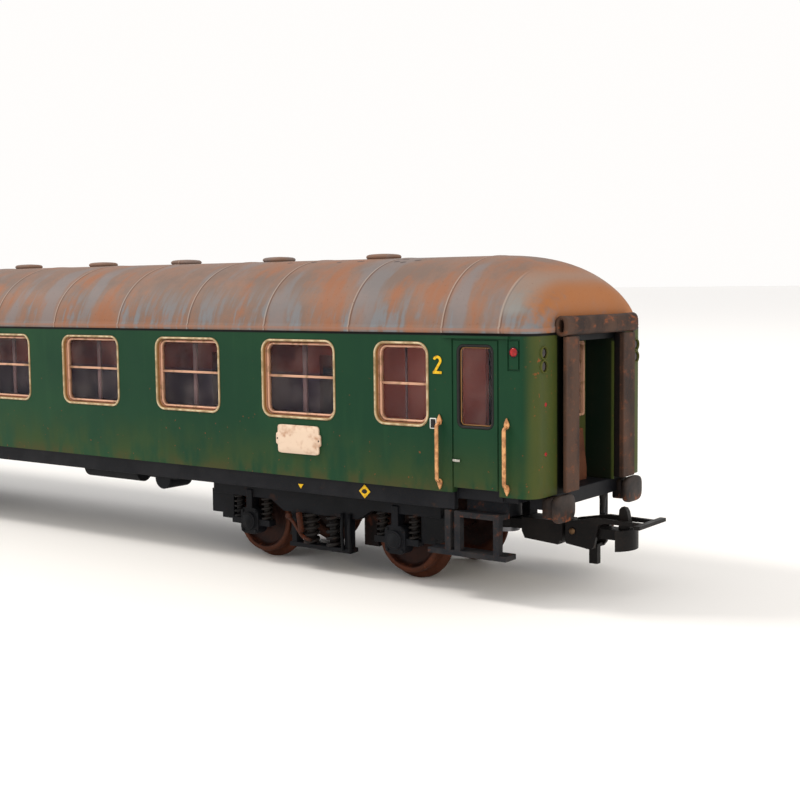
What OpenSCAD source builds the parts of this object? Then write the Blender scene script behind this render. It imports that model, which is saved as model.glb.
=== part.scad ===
// A model railway express coach, second class, at a scale of 1:87.
// X runs along the coach, Y across it and Z up. The origin is under the middle of the coach,
// at the level of the wheel flanges' lowest points.

/* [Body] */
// Length of the body over its end walls
body_l = 291; // [240:1:350]
// Width of the body
body_w = 32.5; // [32:0.1:39]
// Height of the body's lower edge above the wheel flanges
body_z = 15; // [15:0.1:17]
// Height of the sides, from the lower edge to the roof seam
side_h = 21.8; // [21.8:0.1:26]
// Thickness of the body's walls
wall = 1.2; // [0.9:0.05:1.5]
// Radius of the body's upright corners
corner_r = 2.2; // [1.8:0.1:3]
// Thickness of the roof's shell
roof_wall = 1.2; // [0.9:0.1:1.6]
// Height of the roof above its seam
roof_h = 10.85; // [9:0.05:14]
// Length of the rounded end of the roof
dome_l = 14.5; // [10:0.5:18]

/* [Windows] */
// Distance from one large window to the next
window_pitch = 23.3; // [19:0.1:28]
// Width of a large window over its frame
window_w = 14.4; // [11:0.1:17.5]
// Height of a window over its frame
window_h = 11.9; // [9:0.1:12.2]
// Height of the windows' lower edge above the body's lower edge
window_sill = 8.75; // [7.5:0.05:9]
// Outer radius of a window frame's corners
window_r = 1.8; // [1.2:0.1:2.4]
// Width of the metal frame round a window
frame_t = 0.5; // [0.4:0.05:0.8]
// Width of the narrow window beside each door
narrow_w = 9.5; // [7:0.1:11.4]
// Distance from the body's end to the narrow window
narrow_inset = 16.8; // [15.8:0.1:19.5]
// Height of the bar across a window
bar_h = 0.5; // [0.3:0.05:0.8]
// Thickness of the clear glazing strip behind a side
glass_t = 0.6; // [0.4:0.05:0.8]

/* [Doors and ends] */
// Distance from the body's end to the entrance door
door_inset = 5.35; // [4.9:0.05:5.6]
// Width of an entrance door
door_w = 7.55; // [7.3:0.05:8]
// Height of the body's edge under a door, above its edge elsewhere
sill_rise = 0.75; // [0.4:0.05:1.2]
// Width of the gangway recess in an end wall
recess_w = 13; // [11:0.1:14]
// Depth of the gangway recess
recess_d = 4.6; // [3.5:0.1:6]
// Height of the rubber tube over the gangway
tube_h = 2.8; // [2:0.1:3]
// Depth of the rubber tube over the gangway
tube_d = 1.9; // [1.6:0.1:2.4]
// Wall of the rubber tube
tube_wall = 0.55; // [0.4:0.05:0.7]

/* [Underframe] */
// Thickness of the floor
floor_t = 1; // [0.8:0.1:1.2]
// Height of the solebars' lower edge above the wheel flanges
solebar_z = 12.5; // [12.5:0.1:13]
// Distance from the body's end to the solebar's end
solebar_inset = 13; // [12.4:0.05:14]
// Distance between the centres of the two buffers at an end
buffer_gap = 20.6; // [18:0.1:21]
// How far the buffers reach past the end walls
buffer_reach = 1.6; // [1.5:0.1:3]

/* [Bogies] */
// Distance from the body's end to a bogie's pivot
pivot_inset = 39.4; // [38.8:0.1:48]
// Distance between the axles of a bogie
wheelbase = 28.7; // [26:0.1:32]
// Radius of a wheel's tread
tread_r = 5.5; // [4.5:0.1:5.6]
// Height of a wheel's flange above its tread
flange_h = 1.1; // [0.6:0.1:1.2]
// Distance between the inner faces of the two wheels of a set
back_to_back = 14.4; // [13.8:0.1:14.6]
// Width of a wheel
wheel_w = 2.8; // [2.2:0.1:3]
// Radius of an axle
axle_r = 0.9; // [0.7:0.05:1.1]
// Radius of a bogie's pivot pin
pivot_r = 2; // [1.5:0.1:2.5]

/* [Coupler] */
// Radius of the upright pin that a coupler swings on
swing_r = 1; // [0.8:0.1:1.2]
// Distance from the body's end to that pin
swing_inset = 14.1; // [13.8:0.1:14.4]
// Radius of the cross pin that the loop lifts on
lift_r = 0.5; // [0.4:0.05:0.6]
// Reach of the loop's cross bar past the body's end
loop_reach = 9.4; // [9.2:0.1:12]

/* [Clearances] */
// Gap between pieces that fit together by hand, on each side
fit = 0.05; // [0.03:0.01:0.08]
// Radial gap of a running bearing
run = 0.05; // [0.04:0.01:0.08]
// Gap between pieces that slide past each other
slide = 0.1; // [0.08:0.02:0.2]

/* [Hidden] */
half_l = body_l / 2;
half_w = body_w / 2;
seam_z = body_z + side_h;
inner_y = half_w - wall;
glass_y = inner_y - fit;
wheel_r = tread_r + flange_h;
axle_z = wheel_r;
solebar_y = half_w - 0.65;
solebar_t = 1;
solebar_x = half_l - solebar_inset;
floor_z = body_z - floor_t;
inner_floor_z = body_z + 1;
recess_top = seam_z - 1.2;
liner_t = 0.8;
recess_x = half_l - recess_d;
bogie_x = half_l - pivot_inset;

// As many large windows as fit between the two narrow ones, with a pier beside each
pier = 6;
narrow_x = half_l - narrow_inset - narrow_w / 2;
window_n = floor((2 * (narrow_x - narrow_w / 2 - pier) - window_w) / window_pitch) + 1;

// Windows of a side: centre, width and the bar's share of the height
big_windows = [for (i = [0:window_n - 1]) [(i - (window_n - 1) / 2) * window_pitch, window_w, 0.53]];
framed = concat(big_windows, [for (s = [-1, 1]) [s * narrow_x, narrow_w, 0.5]]);
window_zc = body_z + window_sill + window_h / 2;
door_x = half_l - door_inset - door_w / 2;
door_window_w = door_w - 1.7;
door_window_h = window_h - 0.5;
door_window_r = 1;
seal_t = 0.35;

roof_round = 2.3;
roof_flat = 1.8;
dome_end_h = 2.4;
dome_soft = 7;

boss_r = 4.5;
boss_z = 11.5;
plate_top = boss_z - slide;
plate_t = 2;
pin_head_r = 3.3;
pin_head_t = 0.8;
beam_top = 12.2;
beam_y = 11.6;
beam_t = 1.5;
box_y = beam_y - 0.4;
box_t = 2.2;
axle_reach = box_y + 1.4;
spring_dx = 2.9;
spring_r = 0.95;
spring_seat_z = 6.9;
plank_z = 4.4;
bolster_spring_r = 1.3;
bolster_dx = 1.4;

arm_z = 9.3;
arm_t = 1.4;
screw_head_t = 0.6;
pocket_back = half_l - 10.3;
pocket_front = half_l - 3.6;
pocket_z = 6.5;
pocket_h = 3.2;
lift_x = half_l - 2;
lift_z = 8.5;
rod_y = 1.4;
rod_z = 7.7;
arm_y = rod_y + slide;
loop_t = 0.6;
hook_x = half_l + 4.7;

// Arc points of a rounded rectangle about the origin, counter-clockwise
function rounded(w, h, r, n = 5) = [
    for (q = [0:3], i = [0:n])
        let (a = q * 90 + i * 90 / n, sx = q == 0 || q == 3 ? 1 : -1, sy = q < 2 ? 1 : -1)
        [sx * (w / 2 - r) + r * cos(a), sy * (h / 2 - r) + r * sin(a)]
];

// Points of an ellipse about a centre
function ellipse(cx, cz, rx, rz, n = 24) = [
    for (i = [0:n - 1]) [cx + rx * cos(360 * i / n), cz + rz * sin(360 * i / n)]
];

// The roof's cross section, less an inset all round
function roof_section(inset, n = 14) = let (a = half_w - 0.05 - inset, h = roof_h - inset) [
    for (i = [0:2 * n])
        let (t = 180 * i / (2 * n), c = cos(t), s = sin(t))
        [a * sign(c) * pow(abs(c), 2 / roof_round), h * pow(s, 2 / roof_flat)]
];

// How far the roof reaches along and across, at a height z above its seam
function reach_x(z, inset) = let (d = dome_l - inset, low = dome_end_h - inset, u = max(0, (z - low) / (roof_h - inset - low)))
    half_l - inset - d + d * sqrt(max(0, 1 - u * u));
function reach_y(z, inset) = (half_w - 0.05 - inset) * pow(max(0, 1 - pow(z / (roof_h - inset), roof_flat)), 1 / roof_round);

// The roof's outline across a direction at an angle to the coach: an upright corner that rounds more towards the top
function dome_outline(angle, inset, n = 12) = let (
        top = roof_h - inset, c = cos(angle), d = sin(angle),
        pts = [for (i = [0:n]) let (z = max(0, top * sin(90 * i / n)))
            [reach_x(z, inset) * c + reach_y(z, inset) * d - (corner_r - inset + dome_soft * z / top) * (c + d - 1), z]])
    concat([[-pts[0][0], -1], [pts[0][0], -1]], pts, [for (i = [n:-1:0]) [-pts[i][0], pts[i][1]]]);

// Puts children at the front end, or turned about to the rear end
module at_end(front) rotate([0, 0, front ? 0 : 180]) children();

// Puts children on the left or the right, as a mirror image
module both_sides() {
    children();
    mirror([0, 1, 0]) children();
}

// A flat shape in X and Z, extruded outward along -Y from y = -from to y = -to
module outward(from, to) translate([0, -from, 0]) rotate([90, 0, 0]) linear_extrude(to - from) children();

// A box given by its two corners
module span(a, b) translate(a) cube([b[0] - a[0], b[1] - a[1], b[2] - a[2]]);

module rounded_rect(w, h, r, n = 5) polygon(rounded(w, h, r, n));

module plan(inset) rounded_rect(body_l - 2 * inset, body_w - 2 * inset, corner_r - inset, 6);

// One shape for every framed window of a side, grown by a margin
module window_shapes(margin) for (w = framed)
    translate([w[0], window_zc]) rounded_rect(w[1] + 2 * margin, window_h + 2 * margin, window_r + margin);

module door_window_shapes(margin) for (s = [-1, 1])
    translate([s * door_x, window_zc])
        rounded_rect(door_window_w + 2 * margin, door_window_h + 2 * margin, door_window_r + margin);

// The shallow groove round a moulded door, and round the lamp flap beside it
module door_grooves(g = 0.25) for (s = [-1, 1]) scale([s, 1]) difference() {
    union() {
        translate([door_x - door_w / 2, body_z - 1]) square([door_w, side_h + 0.4]);
        translate([half_l - 4, seam_z - 4.8]) square([1.9, 4.2]);
    }
    translate([door_x - door_w / 2 + g, body_z - 2]) square([door_w - 2 * g, side_h + 1.4 - g]);
    translate([half_l - 4 + g, seam_z - 4.8 + g]) square([1.9 - 2 * g, 4.2 - 2 * g]);
}

module body_shell() color([0.14, 0.3, 0.2]) {
    difference() {
        union() {
            translate([0, 0, body_z]) linear_extrude(side_h) difference() {
                plan(0);
                plan(wall);
            }
            for (front = [true, false]) at_end(front) {
                span([recess_x - liner_t, -recess_w / 2 - liner_t, body_z],
                    [half_l - wall, recess_w / 2 + liner_t, recess_top + liner_t]);
                both_sides() drip_rail();
            }
        }
        both_sides() {
            outward(inner_y - 1, half_w + 1) window_shapes(fit);
            outward(inner_y - 1, half_w + 1) door_window_shapes(fit);
            outward(half_w - 0.2, half_w + 1) door_grooves();
            for (s = [-1, 1]) outward(inner_y - 1, half_w + 1) translate([s * door_x, body_z])
                square([door_w, 2 * sill_rise], true);
        }
        for (front = [true, false]) at_end(front)
            span([recess_x - liner_t - 1, -recess_w / 2, body_z - 1], [half_l + 1, recess_w / 2, recess_top]);
    }
}

// The rain strip over an entrance door
module drip_rail() span([half_l - 14.2, -half_w - 0.4, seam_z - 0.55], [half_l - 3.7, -half_w + 0.2, seam_z - 0.2]);

module roof() color([0.55, 0.44, 0.37]) translate([0, 0, seam_z]) difference() {
    union() {
        roof_solid(0);
        for (x = rib_places) roof_slice(x, -rib_h);
    }
    translate([0, 0, -0.001]) roof_solid(roof_wall);
}

rib_h = 0.12;
rib_w = 0.35;
rib_first = 14.5;
rib_pitch = (body_l - 2 * rib_first) / round((body_l - 2 * rib_first) / 16.3);
rib_places = [for (x = [rib_first - half_l:rib_pitch:half_l - rib_first + 0.1]) x];

// A thin slice of the roof's section, for a raised seam between its sheets
module roof_slice(x, inset) translate([x - rib_w / 2, 0, 0]) rotate([90, 0, 90]) linear_extrude(rib_w)
    polygon(roof_section(inset));

// The roof's outer form: its cross section along the coach, rounded down at both ends and round the corners
module roof_solid(inset) intersection() {
    rotate([90, 0, 90]) translate([0, 0, -half_l - 1]) linear_extrude(body_l + 2)
        polygon(roof_section(inset));
    for (a = [0, 30, 60], m = a == 0 ? [1] : [-1, 1]) rotate([90, 0, m * a])
        translate([0, 0, -half_l - half_w]) linear_extrude(2 * half_l + 2 * half_w) polygon(dome_outline(a, inset));
    translate([0, 0, -1]) linear_extrude(roof_h + 2) plan(inset);
}

vent_first = half_l - 36.5;
vent_pitch = 22.8;
vent_n = floor((body_l - 72) / vent_pitch) + 1;
vent_l = 5.5;
vent_w = 3.9;
vent_h = 0.8;

// Low ventilator caps along the ridge, each on a thin foot that seats on the roof and its ribs
module roof_vents() color([0.5, 0.42, 0.36]) translate([0, 0, seam_z]) difference() {
    for (i = [0:vent_n - 1]) translate([vent_first - i * vent_pitch, 0, roof_h]) {
        translate([0, 0, -1]) linear_extrude(1 + vent_h * 0.6) rounded_rect(vent_l, vent_w, 1.5);
        translate([0, 0, vent_h * 0.6 - 0.001]) linear_extrude(vent_h * 0.4)
            rounded_rect(vent_l - 1, vent_w - 1, 1.1);
    }
    rotate([90, 0, 90]) translate([0, 0, -half_l]) linear_extrude(body_l) polygon(roof_section(0));
    for (x = rib_places) roof_slice(x, -rib_h);
}

// A clear strip behind one side, with a raised pane in each window
module glazing_side() {
    outward(glass_y - glass_t, glass_y) translate([0, window_zc]) square([body_l - 2 * wall - 4, window_h + 1.2], true);
    outward(glass_y - 0.001, half_w - 0.5) {
        window_shapes(-frame_t - fit);
        door_window_shapes(-seal_t - fit);
    }
}

module glazing_left() color([0.4, 0.4, 0.42, 0.5]) mirror([0, 1, 0]) glazing_side();

module glazing_right() color([0.4, 0.4, 0.42, 0.5]) glazing_side();

// Metal frames of one side, each with the bar of its drop light
module frames_side() for (w = framed) translate([w[0], 0, window_zc]) {
    outward(glass_y, half_w + 0.15) difference() {
        rounded_rect(w[1], window_h, window_r);
        rounded_rect(w[1] - 2 * frame_t, window_h - 2 * frame_t, window_r - frame_t);
    }
    translate([0, 0, (w[2] - 0.5) * window_h]) outward(half_w - 0.5, half_w - 0.1)
        square([w[1] - 2 * frame_t + 0.02, bar_h], true);
}

module window_frames_left() color([0.78, 0.65, 0.47]) mirror([0, 1, 0]) frames_side();

module window_frames_right() color([0.78, 0.65, 0.47]) frames_side();

module door_seals() color([0.06, 0.06, 0.06]) both_sides() outward(glass_y, half_w + 0.05) difference() {
    door_window_shapes(0);
    door_window_shapes(-seal_t);
}

end_pane_w = 2.4;
end_pane_h = 10.9;
end_pane_y = 4.6;
end_door_t = 0.8;

// Places of the two panes in an end door, in Y and Z
module end_pane_shapes(margin) for (s = [-1, 1]) translate([s * end_pane_y, window_zc])
    rounded_rect(end_pane_w + 2 * margin, end_pane_h + 2 * margin, 0.5 + margin / 2, 3);

// A flat shape in Y and Z, extruded along X between two planes
module along_x(from, to) translate([from, 0, 0]) rotate([90, 0, 90]) linear_extrude(to - from) children();

module end_door() along_x(recess_x - liner_t + 0.1, recess_x - liner_t + 0.1 + end_door_t) difference() {
    translate([-recess_w / 2 + fit, body_z]) square([recess_w - 2 * fit, recess_top - body_z - fit]);
    end_pane_shapes(fit);
}

module end_door_front() color([0.3, 0.33, 0.22]) at_end(true) end_door();

module end_door_rear() color([0.3, 0.33, 0.22]) at_end(false) end_door();

module end_panes() color([0.4, 0.4, 0.42, 0.5]) for (front = [true, false]) at_end(front)
    along_x(recess_x - liner_t + 0.2, recess_x - liner_t + 0.7) end_pane_shapes(-0.35);

module end_pane_frames() color([0.78, 0.65, 0.47]) for (front = [true, false]) at_end(front)
    along_x(recess_x - liner_t + 0.2, recess_x - liner_t + 1.1) difference() {
        end_pane_shapes(0);
        end_pane_shapes(-0.35);
    }

// The folded bridge plate that stands before an end door
module bridge_plates() color([0.3, 0.22, 0.17]) for (front = [true, false]) at_end(front)
    along_x(recess_x + 0.4, recess_x + 1.2)
        polygon([[-4.8, body_z], [4.8, body_z], [4.8, body_z + 1.6], [3.6, body_z + 7.6],
            [-3.6, body_z + 7.6], [-4.8, body_z + 1.6]]);

// The rubber tube over the gangway, hollow and open at its ends
module gangway_tube() {
    tube_x = half_l + tube_d / 2;
    tube_z = seam_z + 1;
    translate([0, 10.8, 0]) rotate([90, 0, 0]) linear_extrude(21.6) difference() {
        polygon(ellipse(tube_x, tube_z, tube_d / 2, tube_h / 2));
        polygon(ellipse(tube_x, tube_z, tube_d / 2 - tube_wall, tube_h / 2 - tube_wall));
    }
}

module gangway_tube_front() color([0.25, 0.2, 0.17]) at_end(true) gangway_tube();

module gangway_tube_rear() color([0.25, 0.2, 0.17]) at_end(false) gangway_tube();

pillar_in = 6.6;
pillar_w = 3.7;

// The two upright rubber rolls beside a gangway, each an angle that is open to the side
module gangway_pillars() both_sides() difference() {
    span([half_l, -pillar_in - pillar_w, body_z + 0.3], [half_l + buffer_reach, -pillar_in, seam_z + 1 - tube_h / 2]);
    span([half_l - 1, -pillar_in - pillar_w - 1, body_z - 1],
        [half_l + buffer_reach - 0.6, -pillar_in - 1.1, seam_z]);
}

module gangway_pillars_front() color([0.2, 0.16, 0.14]) at_end(true) gangway_pillars();

module gangway_pillars_rear() color([0.2, 0.16, 0.14]) at_end(false) gangway_pillars();

room_y = half_w - 2.65;
cab_wall_y = 7.5;
seat_z = 21;

// Moulded interior: a floor, the corridor wall, the compartment walls and their benches
module interior() color([0.32, 0.2, 0.18]) difference() {
    union() {
        span([-solebar_x, -room_y, inner_floor_z], [solebar_x, room_y, weight_top + 0.8]);
        span([-solebar_x, -cab_wall_y, inner_floor_z], [solebar_x, -cab_wall_y + 0.8, seam_z - 1]);
        for (i = [0:window_n]) translate([(i - window_n / 2) * window_pitch, 0, 0]) {
            span([-0.4, -cab_wall_y, inner_floor_z], [0.4, room_y, seam_z - 1]);
            for (s = [-1, 1]) translate([s * 0.39, 0, 0]) scale_x(s) {
                if (!(i == 0 && s < 0) && !(i == window_n && s > 0)) bench();
            }
        }
    }
    span([-weight_l / 2 - 0.2, -weight_w / 2 - 0.2, inner_floor_z - 1],
        [weight_l / 2 + 0.2, weight_w / 2 + 0.2, weight_top + 0.1]);
    for (i = [0:window_n - 1]) translate([(i - (window_n - 1) / 2) * window_pitch, 0, 0])
        span([-3, -cab_wall_y - 1, weight_top + 0.8], [3, -cab_wall_y + 2, seam_z - 4]);
}

module scale_x(s) if (s > 0) children(); else mirror([1, 0, 0]) children();

// A bench with its back, from the corridor wall to the side
module bench() {
    span([0, -cab_wall_y + 2.6, weight_top], [6, room_y - 0.4, seat_z]);
    span([0, -cab_wall_y + 2.6, weight_top], [1.6, room_y - 0.4, seat_z + 8]);
}

weight_l = 170;
weight_w = 20;
weight_t = 1.6;
weight_top = inner_floor_z + weight_t;

module ballast_weight() color([0.45, 0.45, 0.47])
    span([-weight_l / 2, -weight_w / 2, inner_floor_z], [weight_l / 2, weight_w / 2, weight_top]);

beam_in = half_l - 3.4;
beam_out = half_l - 0.6;
headstock_z = 12.9;
headstock_w = 23;

// The floor with its raised inner deck, the solebars, the headstocks and the bogie bolsters
module underframe() color([0.1, 0.11, 0.13]) {
    difference() {
        union() {
            span([-solebar_x, -solebar_y, floor_z], [solebar_x, solebar_y, body_z]);
            span([-beam_in, -inner_y + 0.5, floor_z], [beam_in, inner_y - 0.5, body_z]);
            span([-recess_x + 1, -inner_y + slide, floor_z], [recess_x - 1, inner_y - slide, inner_floor_z]);
            both_sides() span([-solebar_x, -solebar_y, solebar_z], [solebar_x, -solebar_y + solebar_t, body_z]);
            for (front = [true, false]) at_end(front) {
                span([beam_in, -headstock_w / 2, headstock_z], [beam_out, headstock_w / 2, body_z]);
                translate([bogie_x, 0, boss_z]) cylinder(r = boss_r, h = body_z - boss_z, $fn = 48);
                translate([half_l - swing_inset, 0, arm_z + slide])
                    cylinder(r = 2.2, h = body_z - arm_z - slide, $fn = 32);
            }
        }
        for (front = [true, false]) at_end(front) {
            translate([bogie_x, 0, boss_z - 1]) cylinder(r = 1 + 0.02, h = 3.4, $fn = 32);
            translate([half_l - swing_inset, 0, arm_z - 1]) cylinder(r = swing_r + 0.02, h = 4, $fn = 32);
        }
    }
}

gear_y = half_w - 2.05;

// Battery boxes in the middle and a round-bottomed switch box near each bogie
module battery_boxes() color([0.1, 0.1, 0.11]) {
    both_sides() difference() {
        span([-16, -gear_y, 8.6], [14, -7, floor_z]);
        for (x = [-6, 4]) span([x - 0.15, -gear_y - 1, 8.2], [x + 0.15, -gear_y + 0.2, floor_z - 0.6]);
    }
    for (front = [true, false]) at_end(front) translate([half_l - 72.4, -gear_y, 0]) {
        span([-3.4, 0, 12], [3.4, 5.2, floor_z]);
        translate([0, 5.2, 12]) rotate([90, 0, 0]) cylinder(r = 1.8, h = 5.2, $fn = 32);
    }
}

tank_r = 1.7;
tank_l = 13.5;

// Air reservoirs in their straps, one on each side, and the brake cylinder in the middle
module air_tanks() color([0.1, 0.1, 0.11]) {
    for (front = [true, false]) at_end(front) translate([half_l - 93.1, -gear_y + 2.6, 12.3]) {
        rotate([0, 90, 0]) cylinder(r = tank_r, h = tank_l, $fn = 32);
        for (x = [3, tank_l - 3]) span([x - 0.5, -1, 0], [x + 0.5, 1, floor_z - 12.3]);
    }
    translate([24, 4, 11]) rotate([0, 90, 0]) cylinder(r = 2.4, h = 12, $fn = 32);
    span([26, 3, 11], [34, 5, floor_z]);
}

step_in = half_w - 3.05;
step_out = half_w - 0.35;
lower_step_z = 6.1;
upper_step_z = 11.6;
step_t = 0.75;

// The two treads under an entrance door, with the posts that hang them from the floor
module step_side() {
    span([half_l - 17.4, -step_out, lower_step_z], [half_l - 4.6, -step_in, lower_step_z + step_t]);
    span([half_l - 12.2, -step_out, upper_step_z], [half_l - 5.6, -step_in, upper_step_z + step_t]);
    for (x = [half_l - 14.5, half_l - 12.9, half_l - 6.6])
        span([x, -step_out, lower_step_z + step_t - 0.01], [x + 0.95, 1 - step_out, solebar_z - slide]);
    span([half_l - 12.2, -step_in - 0.5, upper_step_z + step_t - 0.01], [half_l - 5.6, -step_in, floor_z]);
}

module steps_front() color([0.2, 0.17, 0.15]) at_end(true) both_sides() step_side();

module steps_rear() color([0.2, 0.17, 0.15]) at_end(false) both_sides() step_side();

rail_r = 0.28;
rail_off = 0.75;

// An upright grab rail on two feet
module grab_rail(x) translate([x, -half_w - rail_off, 0]) {
    translate([0, 0, body_z + 1.2]) cylinder(r = rail_r, h = 8.4, $fn = 16);
    for (z = [body_z + 1, body_z + 9.1]) translate([-0.4, -rail_r, z]) cube([0.8, rail_off + rail_r, 0.7]);
}

module handrails() color([0.84, 0.65, 0.43]) for (front = [true, false]) at_end(front) both_sides() {
    grab_rail(half_l - 14.9);
    grab_rail(half_l - 4.05);
}

module door_handles() color("silver") for (front = [true, false]) at_end(front) both_sides()
    span([half_l - 12.1, -half_w - 0.35, body_z + 4.3], [half_l - 10.8, -half_w, body_z + 4.7]);

board_l = 8.7;
board_h = 4.3;

// Destination boards with hollowed corners, one on a side at each end
module destination_boards() color([0.85, 0.8, 0.72]) for (front = [true, false]) at_end(front)
    translate([half_l - 40.4, 0, body_z + 5.65]) outward(half_w, half_w + 0.25) difference() {
        square([board_l, board_h], true);
        for (x = [-1, 1], z = [-1, 1]) translate([x * board_l / 2, z * board_h / 2]) circle(r = 0.6, $fn = 16);
    }

module lamps() color([0.7, 0.1, 0.1]) for (front = [true, false]) at_end(front) both_sides() {
    outward(half_w, half_w + 0.15) translate([half_l - 3.05, seam_z - 2.3])
        circle(r = 0.7, $fn = 24);
    for (z = [seam_z - 2.45, seam_z - 4.25]) translate([half_l, 2.65 - half_w, z]) rotate([0, 90, 0])
        cylinder(r = 0.88, h = 0.3, $fn = 24);
}

buffer_z = 13.2;
buffer_w = 5.6;
buffer_h = 3.8;

// A fixed buffer: a square sleeve on the headstock and a head with bowed sides
module buffer_side() translate([0, -buffer_gap / 2, buffer_z]) {
    span([beam_out, -1.5, -1.5], [half_l + 0.2, 1.5, 1.5]);
    span([half_l + 0.19, -1.1, -1.1], [half_l + buffer_reach - 0.9, 1.1, 1.1]);
    along_x(half_l + buffer_reach - 0.91, half_l + buffer_reach) intersection() {
        square([buffer_w, buffer_h], true);
        circle(r = buffer_w / 2 + 0.15, $fn = 48);
    }
}

module buffers_front() color([0.12, 0.1, 0.1]) at_end(true) both_sides() buffer_side();

module buffers_rear() color([0.12, 0.1, 0.1]) at_end(false) both_sides() buffer_side();

// A brake hose that hangs from the headstock
module hoses() color([0.08, 0.08, 0.08]) for (front = [true, false]) at_end(front) translate([beam_out, 5.8, 0]) {
    span([-1.2, -0.6, 11.8], [-0.2, 0.6, headstock_z]);
    translate([-0.7, 0, 10]) cylinder(r = 0.5, h = 1.9, $fn = 16);
}

// The screw that a bogie turns on
module bogie_pin() translate([bogie_x, 0, 0]) {
    translate([0, 0, boss_z]) cylinder(r = 1, h = 2.3, $fn = 32);
    translate([0, 0, plate_top - plate_t - slide]) cylinder(r = pivot_r, h = boss_z - plate_top + plate_t + slide, $fn = 48);
    translate([0, 0, plate_top - plate_t - slide - pin_head_t]) cylinder(r = pin_head_r, h = pin_head_t, $fn = 48);
}

module bogie_pin_front() color("silver") at_end(true) bogie_pin();

module bogie_pin_rear() color("silver") at_end(false) bogie_pin();

module at_bogie(front) at_end(front) translate([bogie_x, 0, 0]) children();

module at_axles() for (s = [-1, 1]) translate([s * wheelbase / 2, 0, 0]) children();

// Outline of half a side beam: deep in the middle, a shallow neck over the axle box
function beam_half(s) = let (e = wheelbase / 2 + 8) [
    [s * e, beam_top], [s * e, 10.4], [s * (wheelbase / 2 - 4.4), 10.4], [s * (wheelbase / 2 - 7), 8.8]
];

// Lower edge of the boxes at a bogie's ends, which swing over the lower steps
end_box_z = lower_step_z + step_t + 0.35;

module bogie_frame() difference() {
    union() {
        both_sides() {
            outward(beam_y, beam_y + beam_t) polygon(concat(
                beam_half(1), [for (i = [3:-1:0]) beam_half(-1)[i]]));
            at_axles() {
                outward(box_y, box_y + box_t) translate([0, axle_z]) rounded_rect(3.7, 4.2, 1);
                outward(box_y, box_y + box_t + 0.4) translate([0, axle_z]) circle(r = 1.4, $fn = 32);
                outward(box_y + 0.3, box_y + 1.9) translate([0, spring_seat_z - 0.5]) square([8, 1], true);
                outward(beam_y, beam_y + beam_t + 0.3) translate([0, 9.6]) square([1.2, 4], true);
            }
            for (s = [-1, 1]) {
                span([s * (wheelbase / 2 + 6.5) - 2.4, -beam_y - 0.9, end_box_z], [s * (wheelbase / 2 + 6.5) + 2.4, -9.9 - 0.2, 11]);
                span([s * (wheelbase / 2 + 5.4) - 1.3, -beam_y - 0.9, 6.4], [s * (wheelbase / 2 + 5.4) + 1.3, -9.9 - 0.2, 11]);
                span([s * 5.2 - 0.5, -beam_y - beam_t, plank_z - 0.5], [s * 5.2 + 0.5, -beam_y, 9]);
            }
            span([-6, -beam_y - beam_t - 0.2, plank_z - 0.9], [6, -beam_y + 0.3, plank_z - 0.2]);
        }
        span([-4.6, -beam_y - 0.2, plate_top - plate_t], [4.6, beam_y + 0.2, plate_top]);
    }
    translate([0, 0, plate_top - plate_t - 1]) cylinder(r = pivot_r + run, h = plate_t + 2, $fn = 48);
    at_axles() translate([0, 0, axle_z]) rotate([90, 0, 0])
        cylinder(r = axle_r + run, h = 2 * (axle_reach + slide), center = true, $fn = 32);
}

module bogie_frame_front() color([0.11, 0.1, 0.1]) at_bogie(true) bogie_frame();

module bogie_frame_rear() color([0.11, 0.1, 0.1]) at_bogie(false) bogie_frame();

// The springs' outer forms: a pair over each axle box and one at each end of the bolster
module bogie_springs() both_sides() {
    at_axles() for (s = [-1, 1]) translate([s * spring_dx, -box_y - 1.1, spring_seat_z])
        cylinder(r = spring_r, h = 10.4 - spring_seat_z, $fn = 24);
    for (s = [-1, 1]) translate([s * bolster_dx * 1.6, -beam_y - 0.8, plank_z - 0.2])
        cylinder(r = bolster_spring_r, h = 8.8 - plank_z + 0.2, $fn = 24);
}

module bogie_springs_front() color([0.15, 0.12, 0.1]) at_bogie(true) bogie_springs();

module bogie_springs_rear() color([0.15, 0.12, 0.1]) at_bogie(false) bogie_springs();

// Brake blocks beside the inner edge of each wheel, hung from a cross beam
module bogie_brakes() both_sides() for (s = [-1, 1]) scale_x(s)
    difference() {
        span([wheelbase / 2 - wheel_r - 1.6, -10, 4.4], [wheelbase / 2 - tread_r + 0.2, -back_to_back / 2 - 1.1, plate_top - plate_t]);
        translate([wheelbase / 2, 0, axle_z]) rotate([90, 0, 0])
            cylinder(r = tread_r + 0.35, h = 30, center = true, $fn = 48);
    }

module bogie_brakes_front() color([0.22, 0.15, 0.11]) at_bogie(true) bogie_brakes();

module bogie_brakes_rear() color([0.22, 0.15, 0.11]) at_bogie(false) bogie_brakes();

// One wheel, turned: tread, flange, a dished disc and its hub
module wheel() translate([0, 0, back_to_back / 2]) rotate_extrude($fn = 64) polygon([
    [axle_r - 0.2, 0], [tread_r - 1.1, 0], [wheel_r - 0.35, 0], [wheel_r, 0.25], [wheel_r, 0.55],
    [tread_r, 1.1], [tread_r, wheel_w - 0.2], [tread_r - 0.2, wheel_w], [tread_r - 0.9, wheel_w],
    [tread_r - 1.3, wheel_w - 1], [axle_r + 1, wheel_w - 1], [axle_r + 0.6, wheel_w], [axle_r - 0.2, wheel_w]
]);

// Two wheels on an axle whose ends run in the axle boxes
module wheelset() translate([0, 0, axle_z]) rotate([90, 0, 0]) {
    cylinder(r = axle_r, h = 2 * axle_reach, center = true, $fn = 32);
    wheel();
    mirror([0, 0, 1]) wheel();
}

module wheelset_1() color([0.35, 0.24, 0.17]) at_bogie(true) translate([wheelbase / 2, 0, 0]) wheelset();

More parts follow.
